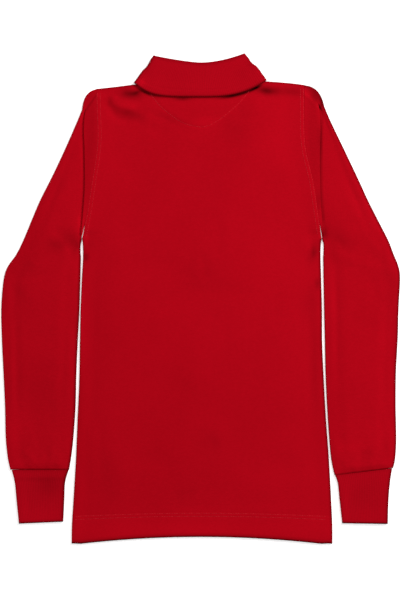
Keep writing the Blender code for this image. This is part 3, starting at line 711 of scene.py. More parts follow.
def shoulder_row(sides, front, turn):
    x, side_distance, _, _, height = row_places(sides)
    end, roll, fall = top_fold(x, front)
    y = end - roll * (1 - math.sin(turn))
    fall = fall * (1 - math.cos(turn))
    return panel_points(front, x, y, end - roll, side_distance, height, fall, True)


# %% A whole panel


def body_panel(front):
    grid = []
    for share in HEM_SHARES:
        sides = {name: low_side(arm, share) for name, arm in ARMS.items()}
        grid.append(panel_row(sides, front, 1 - share, 0))
    for turn in ROLL_TURNS[::-1]:
        sides = {name: underarm_side(arm, turn) for name, arm in ARMS.items()}
        grid.append(panel_row(sides, front, 0, 0))
    for share in ARMHOLE_SHARES[::-1]:
        sides = {name: armhole_side(arm, share) for name, arm in ARMS.items()}
        grid.append(panel_row(sides, front, 0, 1 - share))
    for turn in ROLL_TURNS:
        grid.append(shoulder_row(sides, front, turn))
    return np.array(grid)


# %% [markdown]
# ## Painted light and shade
# Light and shade are painted into the colour of the knit. There are soft oval marks, each listed with
# its place, size and strength, darker lines along edges, folds and the fall of the collar, and lighter
# ones beside seams. Their sum goes with the cloth as an attribute that the material reads.

# %% Marks of painted light and shade
# Each row has the middle and the half sizes in millimetres, the turn in degrees, and the strength:
# the share by which the colour gains or loses light at the middle.
PaintedMark = namedtuple("PaintedMark", "x y wide long turn strength")
BACK_PAINTED_MARKS = (
    (90, 160, 110, 130, -20, 0.03),
    (-110, -220, 70, 80, 0, -0.01),
    (-112, 245, 14, 5, -25, 0.1),
    (-88, 239.5, 13, 6, -20, -0.26),
    (-100, 262.5, 16, 3.5, -15, -0.1),
    (120, 270, 26, 6, -3, -0.3),
    (-90.5, 266.2, 13, 5, -8, -0.56),
    (-82.8, 268.4, 5, 2.6, 20, -0.38),
    (85, 270.3, 12.5, 5, -8, -0.62),
    (-149.2, 53.8, 2.6, 4, 0, -0.36),
    (147.5, 60, 3.6, 8, 0, -0.32),
    (-150, 76, 2, 15, -12, 0.08),
    (-110, 257.5, 10, 4, -20, -0.12),
    (34, 256, 6, 12, 0, -0.03),
    (147, 270, 9, 6, -30, 0.38),
    (-153, 135, 3, 45, 0, 0.2),
    (-155, -8, 3, 60, 1, 0.24),
    (-23.5, 260, 9, 2.8, 0, -0.4),
    (-20, -245, 60, 30, 0, -0.03),
    (-22, -256, 12, 10, 0, -0.07),
    (-118, -238, 16, 30, 0, -0.08),
    (12, -187, 16, 18, 0, -0.08),
    (20, -273, 90, 10, 0, 0.07),
    (0, 30, 30, 20, 10, -0.04),
    (-20, -130, 110, 60, 0, -0.02),
    (46, 220, 20, 34, 5, -0.09),
    (14, 145, 24, 45, 0, -0.045),
    (-105, 138, 24, 60, 0, 0.07),
    (85, 35, 35, 40, 0, 0.06),
    (-45, -14, 35, 14, 0, 0.05),
    (-40, 234.5, 28, 5, -21, -0.12),
    (4, 231, 16, 6, 10, 0.09),
    (-108, 190, 20, 60, 0, 0.015),
    (-149, -20, 8, 60, 0, 0.015),
    (-153, -190, 6, 70, 0, 0.015),
    (150, -90, 8, 60, 0, -0.07),
    (140, -8, 12, 24, 0, -0.09),
    (151.5, 20, 3, 7, 0, -0.28),
    (-142, 70, 4, 12, 0, -0.13),
    (-149, 56, 6, 12, 20, -0.07),
    (147, 62, 6, 14, -20, -0.14),
    (0, 240, 34, 16, 0, -0.034),
    (0, -298, 260, 15, 0, 0.13),
)
SLEEVE_PAINTED_MARKS = {
    "left": (
        (-142, 225, 7, 50, 0, -0.15),
        (-147, 165, 5, 40, 0, -0.1),
        (-153.5, 185, 3, 60, 0, 0.22),
        (-246, -60, 8, 70, 2, 0.1),
        (-156, 98, 4, 12, 0, 0.28),
        (-164, 65, 6, 10, 0, -0.13),
        (-178, 153, 6, 16, -15, -0.08),
        (-223, 45, 12, 14, 0, -0.07),
        (-195, -120, 26, 50, 0, -0.06),
        (-240, -170, 12, 40, 0, 0.13),
        (-187, 70, 12, 9, -10, -0.15),
        (-167, 79, 12, 11, 0, -0.18),
        (-235, 0, 30, 40, 0, -0.06),
        (-215, -90, 50, 110, 0, -0.015),
        (-225, -217, 30, 4, 0, 0.06),
    ),
    "right": (
        (145, 215, 7, 60, 0, -0.18),
        (151, 160, 5, 30, 0, -0.08),
        (153, 127, 3.5, 13, -4, -0.22),
        (160, 85, 4.5, 8, 0, -0.42),
        (148, 261, 7, 8, 0, -0.25),
        (196, 151, 4.5, 50, 24, -0.12),
        (233, 52, 8, 46, 28, -0.12),
        (252, -60, 6, 70, 0, -0.11),
        (244, 10, 12, 36, 0, -0.04),
        (190, -194, 22, 8, 0, 0.08),
        (219, -199, 6, 8, 0, -0.09),
        (175.5, 80, 16, 22, 0, -0.13),
        (196, 72, 14, 12, 20, -0.07),
        (190, 180, 20, 60, -25, 0.01),
        (169, -10, 9, 90, 0, 0.07),
        (210, -180, 40, 16, 0, 0.03),
        (236, -200, 5, 12, 0, -0.06),
    ),
}
CUFF_PAINTED_MARKS = {
    "left": (
        (-197, -242, 17, 13, 0, -0.17),
        (-210, -234.5, 40, 1.2, 0, -0.12),
        (-208, -283, 30, 14, 0, 0.09),
        (-229, -268, 4, 22, 3, 0.1),
    ),
    "right": (
        (213, -250, 20, 18, 0, -0.07),
        (190, -262, 3, 20, 2, 0.11),
        (210, -284, 30, 12, 0, 0.06),
    ),
}
COLLAR_PAINTED_MARKS = (
    (-58, 285, 12, 20, 20, 0.03),
    (68, 300, 10, 12, -20, 0.04),
    (56, 292, 10, 10, 0, -0.05),
    (-66, 292, 6, 10, 20, -0.05),
    (-78, 281, 6, 5, 0, 0.3),
    (65.5, 301, 4, 10, 35, -0.12),
)


# %% Strength of the painted light and shade
# Painted shade: a darker line along each folded or cut edge, where the cloth turns down away from the
# light.
RIM_SHADE = 0.50
LEFT_RIM, RIGHT_RIM, HEM_RIM, CUFF_SEAM_RIM = 0.15, 1.20, 1.80, 0.30
RIM_WIDTH = 0.0020
HEM_RIM_NEARNESS = 0.8
# Painted highlights beside the armhole seams and along the half-moon, and how wide they are.
SEAM_HIGHLIGHT = 0.04
MOON_HIGHLIGHT = 0.06
HIGHLIGHT_WIDTH = 0.0024
SEWN_FROM_UNDERARM = 0.004
FAR_OFF = 1.0


def rim_shade(distance, part=1.0):
    """The shade at a distance from a rim; part is below 1 where the light shades that rim anyway."""
    return -RIM_SHADE * part * bell(distance, 0, RIM_WIDTH)


def painted_light_at(painted_marks, grid, shade):
    """The painted light and shade at each point: the shade given for the piece, and its marks."""
    painted_light = np.zeros(grid.shape[:2]) + shade
    for row in painted_marks:
        mark = PaintedMark(*(size / 1000 for size in row[:4]), *row[4:])
        turn = math.radians(mark.turn)
        x, y = grid[..., 0] - mark.x, grid[..., 1] - mark.y
        wide = (x * math.cos(turn) + y * math.sin(turn)) / mark.wide
        long = (y * math.cos(turn) - x * math.sin(turn)) / mark.long
        painted_light += mark.strength * np.exp(-(wide**2 + long**2))
    return painted_light


# %% [markdown]
# ## From a grid to a piece of cloth
# The grid becomes a sheet of quads, and Solidify gives it the wall of real knit. The map of the cloth
# is made from lengths measured along the sheet, so that wales and ribs follow it round folds.

# %% Cloth from a grid


def add_object(name, data):
    made = bpy.data.objects.new(name, data)
    bpy.context.scene.collection.objects.link(made)
    return made


def stretch_lengths(grid, axis):
    """Lengths along the cloth from the grid's first line to each point."""
    steps = np.linalg.norm(np.diff(grid, axis=axis), axis=2)
    zero = np.zeros_like(np.take(steps, [0], axis=axis))
    return np.concatenate([zero, np.cumsum(steps, axis=axis)], axis=axis)


def cloth(name, grid, wall, tube=False, left_out=None, ribbed=False, painted_marks=(), shade=0.0):
    """A piece of cloth through a grid of points, thickened evenly to both sides."""
    rows, columns = grid.shape[:2]
    wide = np.concatenate([grid, grid[:, :1]], axis=1) if tube else grid
    across, along = stretch_lengths(wide, 1), stretch_lengths(wide, 0)
    across -= across[:, [wide.shape[1] // 2]]
    if ribbed:
        across[:] = across.mean(axis=0)
    r, c = (part.ravel() for part in np.mgrid[0 : rows - 1, 0 : wide.shape[1] - 1])
    if left_out is not None:
        kept = ~left_out[r, c]
        r, c = r[kept], c[kept]
    corners = [(r, c), (r, c + 1), (r + 1, c + 1), (r + 1, c)]
    faces = np.stack([row * columns + column % columns for row, column in corners], axis=1)
    places = np.stack([np.stack([across[k], along[k]], axis=1) for k in corners], axis=1)
    mesh = bpy.data.meshes.new(name)
    mesh.from_pydata(grid.reshape(-1, 3).tolist(), [], faces.tolist())
    mesh.uv_layers.new(name="cloth_map").data.foreach_set("uv", places.ravel())
    # Painted light and shade, carried with the cloth as an attribute that the material reads.
    painted_light = painted_light_at(painted_marks, grid, shade).ravel()
    mesh.attributes.new("painted_light", "FLOAT", "POINT").data.foreach_set("value", painted_light)
    mesh.update()
    mesh.shade_smooth()
    piece = add_object(name, mesh)
    wall_modifier = piece.modifiers.new("wall", "SOLIDIFY")
    wall_modifier.thickness = wall
    wall_modifier.offset = 0.0
    wall_modifier.use_quality_normals = True
    finish_modifiers(piece)
    print(name, "faces:", len(piece.data.polygons))
    return piece


def finish_modifiers(piece):
    bpy.ops.object.select_all(action="DESELECT")
    piece.select_set(True)
    bpy.context.view_layer.objects.active = piece
    for modifier in list(piece.modifiers):
        bpy.ops.object.modifier_apply(modifier=modifier.name)


# %% Shade of the panels' edges


def panel_shade(grid):
    """Painted shade along the body's outline, and a painted highlight on the ridge beside the armhole
    seams.
    """
    x, y = grid[..., 0], grid[..., 1]
    to_side = np.minimum(x - x[:, :1], x[:, -1:] - x)
    sewn = ease((y - ARMS["left"].armhole[-1].y) / SEWN_FROM_UNDERARM)
    to_top = np.where(np.abs(x) > NECK_HALF, top_edge(x) - y, FAR_OFF)
    sides = rim_shade(to_side + sewn, np.where(x < 0, LEFT_RIM, RIGHT_RIM))
    hem = rim_shade(HEM_RIM_NEARNESS * (y - hem_edge(x)), HEM_RIM)
    rims = np.minimum(np.minimum(sides, hem), rim_shade(to_top))
    return rims + SEAM_HIGHLIGHT * sewn * bell(to_side, SEAM_RIDGE_AT, HIGHLIGHT_WIDTH)


def moon_highlight(grid):
    """Painted highlight along the half-moon's stitches."""
    x, y = grid[..., 0], grid[..., 1]
    return MOON_HIGHLIGHT * bell(y, half_moon(x), HIGHLIGHT_WIDTH) * (np.abs(x) < MOON_REACH)


# Painted shadow below the fall's edge on the back: how much darker it gets to each side, from where, how
# soon and how wide.
FallShadow = namedtuple("FallShadow", "gain start fade width")
LEFT_FALL_SHADOW = FallShadow(0.60, 0.045, 0.025, 0.0023)
RIGHT_FALL_SHADOW = FallShadow(0.85, 0.012, 0.030, 0.0021)
LEAST_FALL_SHADOW = 0.12
FALL_SHADOW_REACH, FALL_SHADOW_END = 0.084, 0.012
FALL_SHADOW_BELOW = 0.8


def fall_shadow(grid):
    """Painted shadow on the back below the fall's edge, darkest near its two corners."""
    x, y = grid[..., 0], grid[..., 1]
    line = FALL_EDGE_LINE
    left = mix(line.middle_y, line.left_y, np.minimum(np.abs(x / line.left_x), 1) ** line.left_bow)
    right = mix(line.middle_y, line.right_y, np.minimum(np.abs(x / line.right_x), 1) ** line.right_bow)
    edge = np.where(x < 0, left, right)
    strength = LEAST_FALL_SHADOW
    for way, side_shadow in ((-1, LEFT_FALL_SHADOW), (1, RIGHT_FALL_SHADOW)):
        strength = strength + side_shadow.gain * ease((way * x - side_shadow.start) / side_shadow.fade)
    width = np.where(x < 0, LEFT_FALL_SHADOW.width, RIGHT_FALL_SHADOW.width)
    painted_shadow = -strength * bell(y, edge - FALL_SHADOW_BELOW * width, width)
    return painted_shadow * ease((FALL_SHADOW_REACH - np.abs(x)) / FALL_SHADOW_END)


# %% Make back and front
back_grid = body_panel(False)
# The back's painted light and shade: its outline, the half-moon's highlight and the shadow below the
# collar's fall.
back_shade = panel_shade(back_grid) + moon_highlight(back_grid) + fall_shadow(back_grid)
back = cloth("knit_back", back_grid, KNIT, painted_marks=BACK_PAINTED_MARKS, shade=back_shade)
front_grid = body_panel(True)
middle = front_grid.shape[1] // 2
slot_row = int(np.argmax(front_grid[:, middle, 1] > BAND_BOTTOM))
front_grid[slot_row, middle - SLOT_COLUMNS : middle + SLOT_COLUMNS + 1, 1] = BAND_BOTTOM
slot = np.zeros(front_grid.shape[:2], bool)
slot[slot_row:, middle - SLOT_COLUMNS : middle + SLOT_COLUMNS] = True
front = cloth("knit_front", front_grid, KNIT, left_out=slot, shade=panel_shade(front_grid))

# %% [markdown]
# ## Sleeves
# A sleeve is a flat tube that turns from the armhole down the side. Where it swings down, the back of
# the sleeve folds under itself in a narrow pleat beside the seam. It bends at the elbow, and is
# gathered a little above the cuff.

# %% Ends of each turn of a sleeve


def bent_line(start, corner, end, share):
    """A point on the curve from start to end that bends round the corner."""
    start, corner, end = (np.array(place) for place in (start, corner, end))
    return mix(mix(start, corner, share), mix(corner, end, share), share)


def units(vectors):
    return vectors / np.linalg.norm(vectors, axis=-1, keepdims=True)


def fine_rings(rings, each):
    """The given turns with smoothly placed ones between them."""
    last = len(rings) - 1
    return smooth_rows(np.arange(len(rings)), np.array(rings), np.linspace(0, last, each * last + 1))


def smooth_rows(places, rows, at):
    return np.stack([smooth_at(places, column, at) for column in rows.T], axis=1)


def sleeve_ends(arm):
    """For each turn of the sleeve: its outer end, the way out there, its inner end and the way in."""
    rings = fine_rings(arm.rings, RINGS_EACH)
    shoulder = (armhole_x(arm, shoulder_y(arm)), shoulder_y(arm))
    underarm = np.array((arm.armhole[-1].seam + seam_parting(1), arm.armhole[-1].y))
    shares = np.arange(PLEAT_ROWS) / PLEAT_ROWS
    outer = [bent_line(shoulder, arm.corner, rings[0, :2], share) for share in shares]
    outer = np.concatenate([outer, rings[:, :2]])
    inner = [mix(underarm, rings[0, 2:], share) for share in shares]
    inner = np.concatenate([inner, rings[:, 2:] + np.array((KNIT / 2, 0))])
    inward = math.pi / 2 * np.minimum(1.0, INNER_TURN_RATE * shares)
    inward = np.concatenate([inward, np.full(len(rings), math.pi / 2)])
    inner_way = np.stack([-np.sin(inward), -np.cos(inward)], axis=1)
    slope = np.gradient(outer, axis=0)
    outer_way = units(np.stack([-slope[:, 1], slope[:, 0]], axis=1))
    outer_way[0] = (0.0, 1.0)
    outer[1:] -= outer_way[1:] * KNIT / 2
    return outer, outer_way, inner, inner_way


# %% Heights and points of a sleeve
# A sleeve is wider than its cuff, so it stands up in soft fullness just above the cuff's seam. Lengths
# from pleat and cuff are in rings of the table, and the two shifts let the ribs at both folds differ.
CUFF_BULGE = 0.0010
CUFF_SLOPE_RINGS = 0.7
BULGE_AT, BULGE_WIDTH = 0.35, 0.25
BULGE_FROM_FOLD = 0.010
GATHER_MEAN, GATHER_SWING = 0.6, 0.4
GATHER_WAVES = (9, 31)
RELIEF_FROM_FOLD = 0.012
RELIEF_FROM_PLEAT = 0.8
RELIEF_FROM_CUFF = 0.3
FOLDS_FROM_PLEAT = 2.0
FOLDS_FROM_CUFF = 0.6
OUTER_SHIFT, INNER_SHIFT = 0.2, 0.3
LOWER_UNEVEN = 2


def roll_points(end, way, up, low=FLOOR_CLOTH):
    """Points round a folded edge, between the lower and the upper cloth."""
    centre = end - way * EDGE_ROLL
    flat = centre + way * EDGE_ROLL * np.cos(FOLD_TURNS)[:, None]
    return np.column_stack([flat, low + EDGE_ROLL * (1 + up * np.sin(FOLD_TURNS))])


def pleat_points(arm, k, share, ring):
    """Points of the sleeve's back, k rows on from the armhole seam towards the first whole turn."""
    y = armhole_y(arm, share)
    start = np.stack([armhole_x(arm, y) + seam_parting(share), y], axis=1)
    way = units(ring - start)
    turn, underlap = pleat_turn(share), pleat_underlap(share)
    bend_at = (armhole_x(arm, y, "fold") - start[:, 0] - KNIT / 2 - PLEAT_ROLL) / way[:, 0]
    last = len(PLEAT_STEPS)
    if k < STRIP_ROWS:
        out, down = bend_at * STRIP_SHARES[k], np.zeros(len(share))
    elif k < STRIP_ROWS + last:
        t = PLEAT_STEPS[k - STRIP_ROWS]
        out, down = bend_at + PLEAT_ROLL * np.sin(turn * t), PLEAT_ROLL * (1 - np.cos(turn * t))
    else:
        t = PLEAT_STEPS[max(STRIP_ROWS + 2 * last - 1 - k, 0)]
        out = bend_at + PLEAT_ROLL * (2 * np.sin(turn) - np.sin(turn * t)) + underlap * np.cos(turn)
        if k == PLEAT_ROWS - 1:
            out = mix(out, bend_at + PLEAT_ROLL + PLEAT_BEYOND, ease(2 * turn / math.pi - 1))
        down = PLEAT_ROLL * (1 - 2 * np.cos(turn) + np.cos(turn * t)) + underlap * np.sin(turn)
    plain = np.linalg.norm(ring - start, axis=1) * k / PLEAT_ROWS
    place = start + way * mix(plain, out, ease(turn / FLAT_TURN))[:, None]
    return np.column_stack([place, armhole_height(share) - down])


def free_height(share, k, to_cuff):
    """Height of the sleeve's back k rings on from the pleat: pressed at both ends, puffed between."""
    puff = SLEEVE_SWELL * ease(k / PUFF_RINGS) * ease(from_ends(share) / SLEEVE_EDGE_SHARE)
    free = EDGE_CLOTH + puff * ease(to_cuff / CUFF_SLOPE_RINGS)
    return mix(under_pleat(share), free, ease(k / UNPRESSED_RINGS))


def sleeve_relief(x, y, creases, share, width, ring_number, to_cuff):
    """Relief of the sleeve's back: creases, ribs at its folds and the fullness above the cuff."""
    to_fold = from_ends(share) * width
    inside = ease(to_fold / RELIEF_FROM_FOLD) * ease(ring_number / RELIEF_FROM_PLEAT)
    inside = inside * ease(to_cuff / RELIEF_FROM_CUFF)
    relief = (crease_relief(creases, x, y) + unevenness(x, y)) * inside
    folds = fold_relief(share * width, y + OUTER_SHIFT)
    folds = folds + fold_relief((1 - share) * width, y + INNER_SHIFT)
    relief = relief + folds * ease(ring_number / FOLDS_FROM_PLEAT) * ease(to_cuff / FOLDS_FROM_CUFF)
    gathers = np.sin(GATHER_WAVES[0] * share + 2) * np.sin(GATHER_WAVES[1] * share)
    fullness = (GATHER_MEAN + GATHER_SWING * gathers) * ease(to_fold / BULGE_FROM_FOLD)
    return relief + CUFF_BULGE * bell(to_cuff, BULGE_AT, BULGE_WIDTH) * fullness


def sleeve(arm, creases):
    """Rows of points round the sleeve, from the armhole seam to the cuff seam."""
    outer, outer_way, inner, inner_way = sleeve_ends(arm)
    outer_flat = outer - outer_way * EDGE_ROLL
    inner_flat = inner - inner_way * EDGE_ROLL
    front_share, back_share = FRONT_SHARES[::-1], ARMHOLE_SHARES
    front_ring = mix(outer_flat[PLEAT_ROWS], inner_flat[PLEAT_ROWS], front_share[1:-1, None])
    back_ring = mix(outer_flat[PLEAT_ROWS], inner_flat[PLEAT_ROWS], back_share[1:-1, None])
    seam_y = armhole_y(arm, front_share[1:-1])
    front_seam = np.stack([armhole_x(arm, seam_y) + seam_parting(front_share[1:-1]), seam_y], axis=1)
    grid = []
    for k in range(len(outer)):
        below = mix(outer_flat[k], inner_flat[k], front_share[:, None])
        above = mix(outer_flat[k], inner_flat[k], back_share[:, None])
        ring_number = max(0, k - PLEAT_ROWS) / RINGS_EACH
        to_cuff = (len(outer) - 1 - k) / RINGS_EACH
        above = np.column_stack([above, free_height(back_share, ring_number, to_cuff)])
        if k < PLEAT_ROWS:
            below[1:-1] = mix(front_seam, front_ring, k / PLEAT_ROWS)
            above[1:-1] = pleat_points(arm, k, back_share[1:-1], back_ring)
        width = np.linalg.norm(outer_flat[k] - inner_flat[k])
        x, y = arm.sign * above[:, 0], above[:, 1]
        above[:, 2] += sleeve_relief(x, y, creases, back_share, width, ring_number, to_cuff)
        lifted = np.abs(unevenness(arm.sign * below[:, 0], below[:, 1])) * LOWER_UNEVEN
        inside = ease(from_ends(front_share) * width / RELIEF_FROM_FOLD)
        lifted *= inside * ease(ring_number / RELIEF_FROM_PLEAT)
        below = np.column_stack([below, FLOOR_CLOTH + lifted])
        outer_fold = roll_points(outer[k], outer_way[k], 1)
        inner_fold = roll_points(inner[k], inner_way[k], -1)
        grid.append(np.concatenate([below, outer_fold, above, inner_fold]) * (arm.sign, 1, 1))
    return np.array(grid)


# %% Make the sleeves
# Painted shade beside each pleat's fold; beyond is how far its deepest line lies past the fold.
FoldShade = namedtuple("FoldShade", "strength beyond width")
PLEAT_SHADES = {"left": FoldShade(0.02, 0.0010, 0.0018), "right": FoldShade(0.66, 0.0012, 0.0018)}
PLEAT_LOW, PLEAT_HIGH, PLEAT_FADE = 0.090, 0.268, 0.020


def plan_distance(grid, line):
    """How far each point lies from one line of the grid, seen from above."""
    return np.linalg.norm(grid[..., :2] - line[..., :2], axis=2)


def tube_rim(grid, below):
    """Painted shade at the two folds of a flat tube; below is its count of front points."""
    middle = len(FOLD_TURNS) // 2
    outer, inner = (plan_distance(grid, grid[:, [k]]) for k in (below + middle, -1 - middle))
    left, right = (outer, inner) if grid[0, 0, 0] < 0 else (inner, outer)
    return np.minimum(rim_shade(left, LEFT_RIM), rim_shade(right, RIGHT_RIM))


def pleat_shade(arm, fold, grid):
    """Painted shade along the pleat's fold, where the sleeve comes out from below it."""
    x, y = np.abs(grid[..., 0]), grid[..., 1]
    along = ease((y - PLEAT_LOW) / PLEAT_FADE) * ease((PLEAT_HIGH - y) / PLEAT_FADE)
    return -fold.strength * along * bell(x, armhole_x(arm, y, "fold") + fold.beyond, fold.width)


sleeves = {}
for side, arm in ARMS.items():
    grid = sleeve(arm, SLEEVE_CREASES[side])
    # Painted shade at the sleeve's two folds and along its pleat.
    shade = tube_rim(grid, len(FRONT_SHARES)) + pleat_shade(arm, PLEAT_SHADES[side], grid)
    painted_marks = SLEEVE_PAINTED_MARKS[side]
    sleeves[side] = cloth("knit_sleeve_" + side, grid, KNIT, tube=True, painted_marks=painted_marks, shade=shade)

# %% [markdown]
# ## Cuffs
# Each cuff is a short tube of rib, narrower than the sleeve that is gathered into it. It lies flat,
# and painted shade draws a thin dark line along its open end.

# %% Make the cuffs
CUFF_SHARES = np.concatenate([(0, 0.02, 0.05), np.linspace(0.1, 0.9, 11), (0.95, 0.98, 1)])
CUFF_RINGS = np.concatenate([(0, 0.05, 0.12), np.linspace(0.25, 2.75, 11), (2.85, 2.92, 2.97, 3)])


def cuff(arm):
    """Rows of points round the cuff, from the sleeve to its open end."""
    low, count = RIB / 2, len(CUFF_SHARES)
    grid = []
    for ring in smooth_rows(np.arange(len(arm.cuff)), np.array(arm.cuff), CUFF_RINGS):
        outer, inner = ring[:2], ring[2:]
        way = units(outer - inner)
        outer, inner = outer - way * RIB / 2, inner + way * RIB / 2
        outer_flat, inner_flat = outer - way * EDGE_ROLL, inner + way * EDGE_ROLL
        flat = mix(outer_flat, inner_flat, CUFF_SHARES[:, None])
        flat_back = mix(outer_flat, inner_flat, CUFF_SHARES[::-1, None])
        below = np.column_stack([flat_back, np.full(count, low)])
        above = np.column_stack([flat, np.full(count, low + 2 * EDGE_ROLL)])
        row = [below, roll_points(outer, way, 1, low), above, roll_points(inner, -way, -1, low)]
        grid.append(np.concatenate(row) * (arm.sign, 1, 1))
    return np.array(grid)


cuffs = {}
for side, arm in ARMS.items():
    grid = cuff(arm)
    # Painted shade at the cuff's seam, its open end and its two folds.
    to_seam, to_end = (plan_distance(grid, grid[[end]]) for end in (0, -1))
    ends = np.minimum(rim_shade(to_seam, CUFF_SEAM_RIM), rim_shade(to_end, HEM_RIM))
    shade = np.minimum(tube_rim(grid, len(CUFF_SHARES)), ends)
    painted_marks = CUFF_PAINTED_MARKS[side]
    cuffs[side] = cloth("rib_cuff_" + side, grid, RIB, tube=True, ribbed=True, painted_marks=painted_marks, shade=shade)

# %% [markdown]
# ## Collar
# The collar is one strip of rib: a stand that goes up from the neck seam, a crease over the top, and
# a fall that comes down over the neck. It goes all round the neck, and ends in two points in front.

# %% Lines along the collar
COLLAR_FRONT_SHARES = np.linspace(0, 1, 16)
COLLAR_BACK_SHARES = np.linspace(0, 1, 20)
STAND_STEPS = np.linspace(0, 1, 8)
FALL_STEPS = np.concatenate([np.linspace(0, 0.72, 9), np.linspace(0.75, 1, 12)])
CREASE_TURNS = np.radians((22.5, 45, 67.5, 90, 112.5, 135, 157.5))
# Two courses near the free edge are knitted tighter, and sink a little.
FALL_LINES = (0.80, 0.91)
FALL_LINE_DEPTH = 0.00022
FALL_LINE_WIDTH = 0.022
FALL_SPRING = 0.0012
SPRING_FROM, SPRING_FADE = 0.45, 0.5
# The stiff side folds aren't quite straight: how far each stands out past the straight fold.
SideStep = namedtuple("SideStep", "y left right")
COLLAR_SIDES = in_metres(SideStep, (
    (284, 0, 0), (289, 0, 0.8), (294.7, 0, 1.2), (297.3, 0, 1.9), (300, -1.4, 1.7),
    (302.5, -1.7, 1.4), (305.1, -1.3, -0.4), (307.7, -1, -1.1), (311, 0, 0)
))
COLLAR_SIDE_FROM, COLLAR_SIDE_FADE = 0.040, 0.014


def neck_seam(x, front):
    """The collar's side of the neck seam, one seam away from the panel's edge."""
    edge = front_neck if front else top_edge
    slope = (edge(x + KNIT) - edge(x - KNIT)) / (2 * KNIT)
    return edge(x) + SEAM * np.hypot(1.0, slope)


def collar_line(line):
    """Plan points of one line along the collar, the way out there, and the turn of the cloth."""
    halves = []
    for sign in (-1, 1):
        if sign < 0:
            side_x, side_y, bow = line.left_x, line.left_y, line.left_bow
        else:
            side_x, side_y, bow = line.right_x, line.right_y, line.right_bow
        x = sign * mix(line.end_x, abs(side_x), COLLAR_FRONT_SHARES)
        y = mix(line.end_y, side_y, COLLAR_FRONT_SHARES**line.front_bow)
        below = np.stack([x, neck_seam(x, True) if line is NECK_LINE else y], axis=1)
        x = side_x * COLLAR_BACK_SHARES[::-1]
        y = mix(line.middle_y, side_y, COLLAR_BACK_SHARES[::-1] ** bow)
        above = np.stack([x, neck_seam(x, False) if line is NECK_LINE else y], axis=1)
        side = np.tile((side_x, side_y), (len(FOLD_TURNS), 1))
        turn = math.radians(line.turn)
        ways = np.zeros((len(below) + len(side) + len(above), 2))
        ways[len(below) : len(below) + len(side)] = (sign * math.cos(turn), math.sin(turn))
        down, up = np.full(len(below), -math.pi / 2), np.full(len(above), math.pi / 2)
        angles = np.concatenate([down, FOLD_TURNS, up])
        halves.append((np.concatenate([below, side, above]), ways, angles))
    return [np.concatenate([left, right[::-1][1:]]) for left, right in zip(*halves)]


def collar():
    """Rows of points: up the stand from the neck seam, over the crease and down the fall."""
    neck, crease, edge = (collar_line(line) for line in (NECK_LINE, CREASE_LINE, FALL_EDGE_LINE))
    crease_roll = (FALL_ROLL - STAND_ROLL) / 2
    rows = [(neck, crease, share, STAND_ROLL, 0.0, 0.0) for share in STAND_STEPS]
    for turn in CREASE_TURNS:
        roll = STAND_ROLL + crease_roll * (1 - math.cos(turn))
        rows.append((crease, crease, 0.0, roll, crease_roll * math.sin(turn), 0.0))
    for share in FALL_STEPS:
        sunk = sum(FALL_LINE_DEPTH * bell(share, line, FALL_LINE_WIDTH) for line in FALL_LINES)
        spring = FALL_SPRING * ease((share - SPRING_FROM) / SPRING_FADE)
        rows.append((crease, edge, share, FALL_ROLL - sunk, 0.0, spring))
    grid = []
    for (start, start_way, angle), (end, end_way, _), share, roll, lift, spring in rows:
        place = mix(start, end, share) + mix(start_way, end_way, share) * roll * np.cos(angle)[:, None]
        height = COLLAR_AXIS + roll * np.sin(angle) + spring * np.maximum(np.sin(angle), 0)
        grid.append(np.column_stack([place[:, 0], place[:, 1] + lift, height]))
    return np.array(grid)


def side_steps(grid):
    """How far the collar's points move sideways for its uneven side folds."""
    x, y = grid[..., 0], grid[..., 1]
    left, right = (read_table(COLLAR_SIDES, "y", side, y) for side in ("left", "right"))
    return np.where(x < 0, -left, right) * ease((np.abs(x) - COLLAR_SIDE_FROM) / COLLAR_SIDE_FADE)


collar_grid = collar()
collar_grid[..., 0] += side_steps(collar_grid)
# Painted shade along the collar's free edge, its crease and its side folds.
up_the_strip = stretch_lengths(collar_grid, 0)
crease_row = len(STAND_STEPS) + len(CREASE_TURNS) // 2
to_edges = np.minimum(up_the_strip[-1:] - up_the_strip, np.abs(up_the_strip - up_the_strip[crease_row]))
side_fold = len(COLLAR_FRONT_SHARES) + len(FOLD_TURNS) // 2
for column in (side_fold, -1 - side_fold):
    to_edges = np.minimum(to_edges, plan_distance(collar_grid, collar_grid[:, [column]]))
shade = rim_shade(to_edges)
collar_piece = cloth("rib_collar", collar_grid, RIB, ribbed=True, painted_marks=COLLAR_PAINTED_MARKS, shade=shade)

# %% [markdown]
# ## Front opening
# Two bands of doubled knit lie over each other below the neck, closed by two buttons. They lie
# underneath here, between the front and the floor.

# %% Make the bands


def band(name, height):
    x = np.linspace(-BAND_WIDTH / 2, BAND_WIDTH / 2, 9)
    rows = [mix(BAND_BOTTOM + SEAM, front_neck(x) - SEAM, share) for share in np.linspace(0, 1, 28)]
    grid = np.array([np.column_stack([x, y, np.full(len(x), height)]) for y in rows])
    # Painted shade along the band's sides and bottom.
    rim = np.minimum(BAND_WIDTH / 2 - np.abs(grid[..., 0]), grid[..., 1] - BAND_BOTTOM)
    return cloth(name, grid, KNIT, shade=rim_shade(rim))


bands = [band("knit_band_outer", BAND_OUTER), band("knit_band_under", BAND_UNDER)]

# %% [markdown]
# ## Buttons
# Each button is moulded: a disc with a raised rim, a dish inside it, and four holes with thread
# across. It could be turned as a profile, but a cylinder is nearer to how it is machined: the dish is
# inset and sunk, the holes are drilled, and then all edges are rounded.

# %% Helpers for modelling by hand
def add_cylinder(sides, radius, depth, place):
    bpy.ops.object.select_all(action="DESELECT")
    bpy.ops.mesh.primitive_cylinder_add(vertices=sides, radius=radius, depth=depth, location=place)
    bpy.ops.object.transform_apply(location=True, rotation=True, scale=True)
    return bpy.context.object


